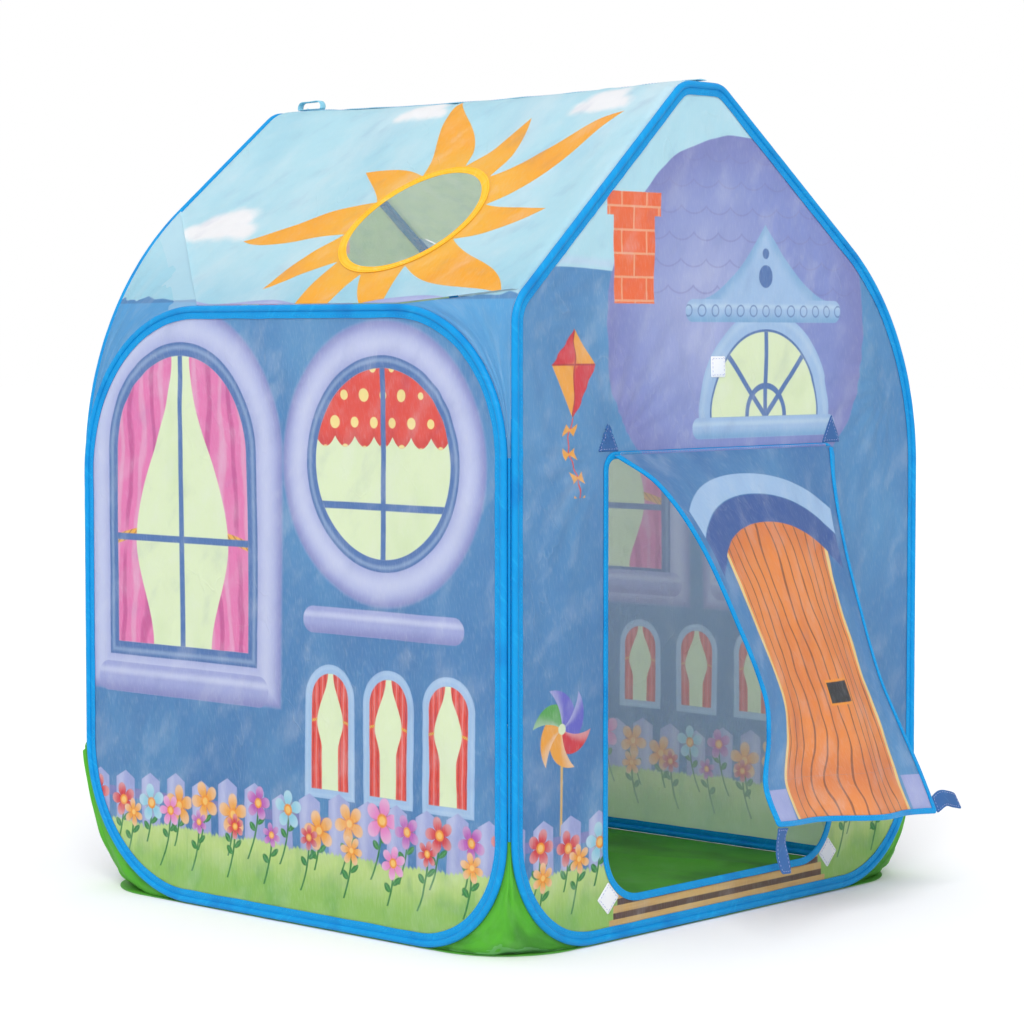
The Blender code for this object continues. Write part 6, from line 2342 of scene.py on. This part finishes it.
@dataclass
class Floor:
    """The floor cloth, loose on the ground."""

    corner: float = 0.100
    wrinkle: float = 0.0055
    fold_line: float = -0.304
    keep: float = 0.03

    def build(self, wardrobe: Wardrobe) -> None:
        """Builds the floor with its wrinkles."""
        corners = box_corners((-WALL_PLANE, -GABLE_PLANE), (WALL_PLANE, GABLE_PLANE), self.corner)
        cut = Cut(rounded(corners, 0.006), (), 0.008)

        def surface(across: float, up: float, lift: float) -> Vector:
            """The floor's skin, raised in long wrinkles away from the hoops."""
            warp = 0.8 * ripple(across * 3.0, up * 3.0, 2.0)
            ridge = 1.0 - abs(ripple(across * 5.0 + warp, up * 4.0 - warp, 4.0)) * 3.2
            small = 0.2 + 0.2 * ripple(across * 24.0, up * 24.0, 6.0)
            rise = (max(ridge, 0.0) ** 2 + small) * self.wrinkle * ease(cut.distance((across, up)), 0.012, 0.07)
            return Vector((across, up, 0.0006 + lift + rise))

        cloth = Form().shell(cut, surface, 0.0003).made("floor_cloth", wardrobe.floor)
        dress(cloth, "front", "floor_green", "floor_sheet")
        crumple(cloth, Vector((0.0, 1.0, 0.0)), Vector((0.0, self.fold_line, 0.0)), self.keep)
        cut.extent()
        cut.area()
        LOG.info("floor: %.3f m2", cut.area())


@dataclass
class CornerSeam:
    """The whipped seam down an upright corner, about which two hoops fold."""

    node: str
    body: str
    radius: float = 0.00155
    thread: float = 0.00045
    pitch: float = 0.0036
    core: float = 0.0017
    past: float = 0.006
    turn_steps: int = 9

    def build(self, wardrobe: Wardrobe) -> None:
        """Builds the thread as a tube wound down the corner, a little way in under both gussets."""
        low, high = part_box(self.node)
        middle = (low + high) / 2
        foot = low.z - self.past
        length = high.z + self.past - foot
        turns = length / self.pitch
        steps = int(turns * self.turn_steps)
        rings = []
        flats = []
        for step in range(steps + 1):
            angle = 2 * math.pi * turns * step / steps
            out = Vector((math.cos(angle), math.sin(angle), 0.0))
            centre = Vector((middle.x, middle.y, foot + length * step / steps)) + out * self.radius
            ring = [centre + (out * math.cos(turn) + UPRIGHT * math.sin(turn)) * self.thread
                    for turn in (0.0, 2.1, 4.2)]
            rings.append(ring)
            flats.append([(step * 0.0008, place * 0.001) for place in range(3)])
        form = Form().skin(rings, flats, False)
        section = [middle.xy + turned(Vector((self.core, 0.0)), math.pi / 4 * side) for side in range(8)]
        core = [[Vector((*spot, height)) for spot in section] for height in (foot, foot + length)]
        form.skin(core, [[(0.0, side * 0.001) for side in range(8)]] * 2, False)
        seam = form.made(f"{self.node}_thread", wardrobe.tape, 0.0, True)
        dress(seam, self.body, "seam_thread", self.node)


# ---------------------------------------------------------------- studio

@dataclass
class Studio:
    """A pale floor, soft light and the photograph's camera."""

    place: Vector = field(default_factory=lambda: Vector((-2.7243, -2.4940, 0.6688)))
    heading: float = math.radians(-47.666)
    dip: float = math.radians(3.3137)
    lens: float = 105.65
    sun_width: float = math.radians(32.0)

    def build(self) -> None:
        """Sets up the floor, the world, the lamps and the camera."""
        self.floor()
        self.world()
        self.sun((-0.62, -0.50, 0.62), 2.0)
        self.camera()
        bpy.context.scene.view_settings.view_transform = "Standard"

    def floor(self) -> None:
        """A wide pale floor that keeps the tent's shadow."""
        mesh = bpy.data.meshes.new("studio_floor")
        reach = 30.0
        sides = ((-1, -1), (1, -1), (1, 1), (-1, 1))
        mesh.from_pydata([(side * reach, end * reach, -0.0004) for side, end in sides], [], [(0, 1, 2, 3)])
        material, tree = blank("studio_floor_paint")
        paint = added(tree, "ShaderNodeBsdfDiffuse", {"Color": (0.93, 0.935, 0.94, 1.0)})
        added(tree, "ShaderNodeOutputMaterial", {"Surface": paint})
        mesh.materials.append(material)
        linked("studio_floor", mesh)

    def world(self) -> None:
        """An even pale sky that is white where it is seen, mirrored or seen through something."""
        world = bpy.data.worlds.new("studio_air")
        bpy.context.scene.world = world
        world.use_nodes = True
        tree = world.node_tree
        tree.nodes.clear()
        path = added(tree, "ShaderNodeLightPath").outputs
        seen = [Field(tree, path[f"Is {way} Ray"]) for way in ("Camera", "Glossy", "Transmission")]
        strength = seen[0].high(seen[1]).high(seen[2]) * 0.16 + 0.84
        air = added(tree, "ShaderNodeBackground", {"Color": (1.0, 1.0, 1.0, 1.0), "Strength": strength})
        added(tree, "ShaderNodeOutputWorld", {"Surface": air})

    def sun(self, way: tuple[float, float, float], strength: float) -> None:
        """A very wide, soft key light from one direction."""
        light = bpy.data.lights.new("key", "SUN")
        light.angle = self.sun_width
        light.energy = strength
        linked("key", light).rotation_euler = (-Vector(way)).to_track_quat("-Z", "Y").to_euler()

    def camera(self) -> None:
        """The camera that was fitted to the hoops in the photograph."""
        data = bpy.data.cameras.new("photo_camera")
        data.lens = self.lens
        data.sensor_width = 36.0
        aim = Vector((-math.sin(self.heading) * math.cos(self.dip), math.cos(self.heading) * math.cos(self.dip),
                      -math.sin(self.dip)))
        camera = linked("photo_camera", data)
        camera.location = self.place
        camera.rotation_euler = aim.to_track_quat("-Z", "Y").to_euler()
        bpy.context.scene.camera = camera


@dataclass
class Tent:
    """The whole tent, built sub-assembly by sub-assembly."""

    wardrobe: Wardrobe = field(default_factory=Wardrobe)
    sewing: Sewing = field(default_factory=Sewing)

    def build(self) -> None:
        """Builds the hoops, the door, the roof, the gussets, the floor and the seams."""
        front = Hoop("front", FRONT, FRONT_CORNERS,
                     Drape(0.0040, 0.0038, 0.0014, 0.35, 3.0, ((-0.35, 0.69), (0.32, 0.62), (-0.21, 0.55))))
        doorway = Doorway(front)
        panel = front.build(self.wardrobe, self.sewing, (doorway.hole(),))
        doorway.build(self.wardrobe, self.sewing, panel)
        Flap().build(self.wardrobe, self.sewing)
        for name, side, corners, drape in (
            ("left", LEFT, LEFT_CORNERS,
             Drape(0.0045, 0.0027, 0.0013, 0.20, 11.0, ((-0.32, 0.68), (0.32, 0.68), (0.33, 0.03)))),
            ("right", RIGHT, RIGHT_CORNERS,
             Drape(0.0045, 0.0027, 0.0013, -0.25, 17.0, ((-0.32, 0.66), (0.32, 0.66), (-0.33, 0.03)))),
            ("rear", REAR, REAR_CORNERS,
             Drape(0.0045, 0.0027, 0.0013, -0.15, 23.0, ((-0.32, 0.66), (0.32, 0.66)))),
        ):
            Hoop(name, side, corners, drape).build(self.wardrobe, self.sewing)
        Roof().build(self.wardrobe, self.sewing)
        Floor().build(self.wardrobe)
        self.gussets()
        for end in ("front", "rear"):
            for hand in ("left", "right"):
                CornerSeam(f"{end}_{hand}_corner_seam", end).build(self.wardrobe)
        self.stitches()

    def gussets(self) -> None:
        """Builds the eight gussets."""
        special = {("front", "left"): Corner.CLOSES, ("rear", "right"): Corner.PARTS}
        for end, gable, gable_side in (("front", FRONT_CORNERS, -1), ("rear", REAR_CORNERS, 1)):
            for hand, wall, wall_side in (("left", LEFT_CORNERS, -1), ("right", RIGHT_CORNERS, 1)):
                corner = special.get((end, hand), Corner.OPENS)
                wall_foot, wall_top = (0, 3) if gable_side < 0 else (1, 2)
                gable_foot, gable_top = (0, 5) if wall_side < 0 else (1, 2)
                levels = (("foot", wall_foot, gable_foot), ("eave", wall_top, gable_top))
                for level, on_wall, on_gable in levels:
                    gusset = Gusset(f"{end}_{hand}_{level}_gusset", wall, wall_side, on_wall, gable, gable_side,
                                    on_gable, level == "foot")
                    gusset.build(self.wardrobe, f"{hand}_wall", end, corner)
        LOG.info("eight gussets")

    def stitches(self) -> None:
        """Sews every noted row, one piece for each body and thread."""
        threads = {
            "azure": (self.wardrobe.thread, "seam_thread"),
            "pale": (self.wardrobe.white_thread, "patch"),
            "gold": (self.wardrobe.gold_thread, "yellow_tape"),
        }
        for body, thread in sorted(self.sewing.rows):
            material, slot = threads[thread]
            piece = self.sewing.sewn(body, thread, material)
            dress(piece, body, slot)
            LOG.info("%s: %d faces", piece.name, len(piece.data.polygons))


def main() -> None:
    """Builds the tent and the studio."""
    logging.basicConfig(level=logging.INFO, format="%(message)s")
    Tent().build()
    Studio().build()


if __name__ == "__main__":
    main()
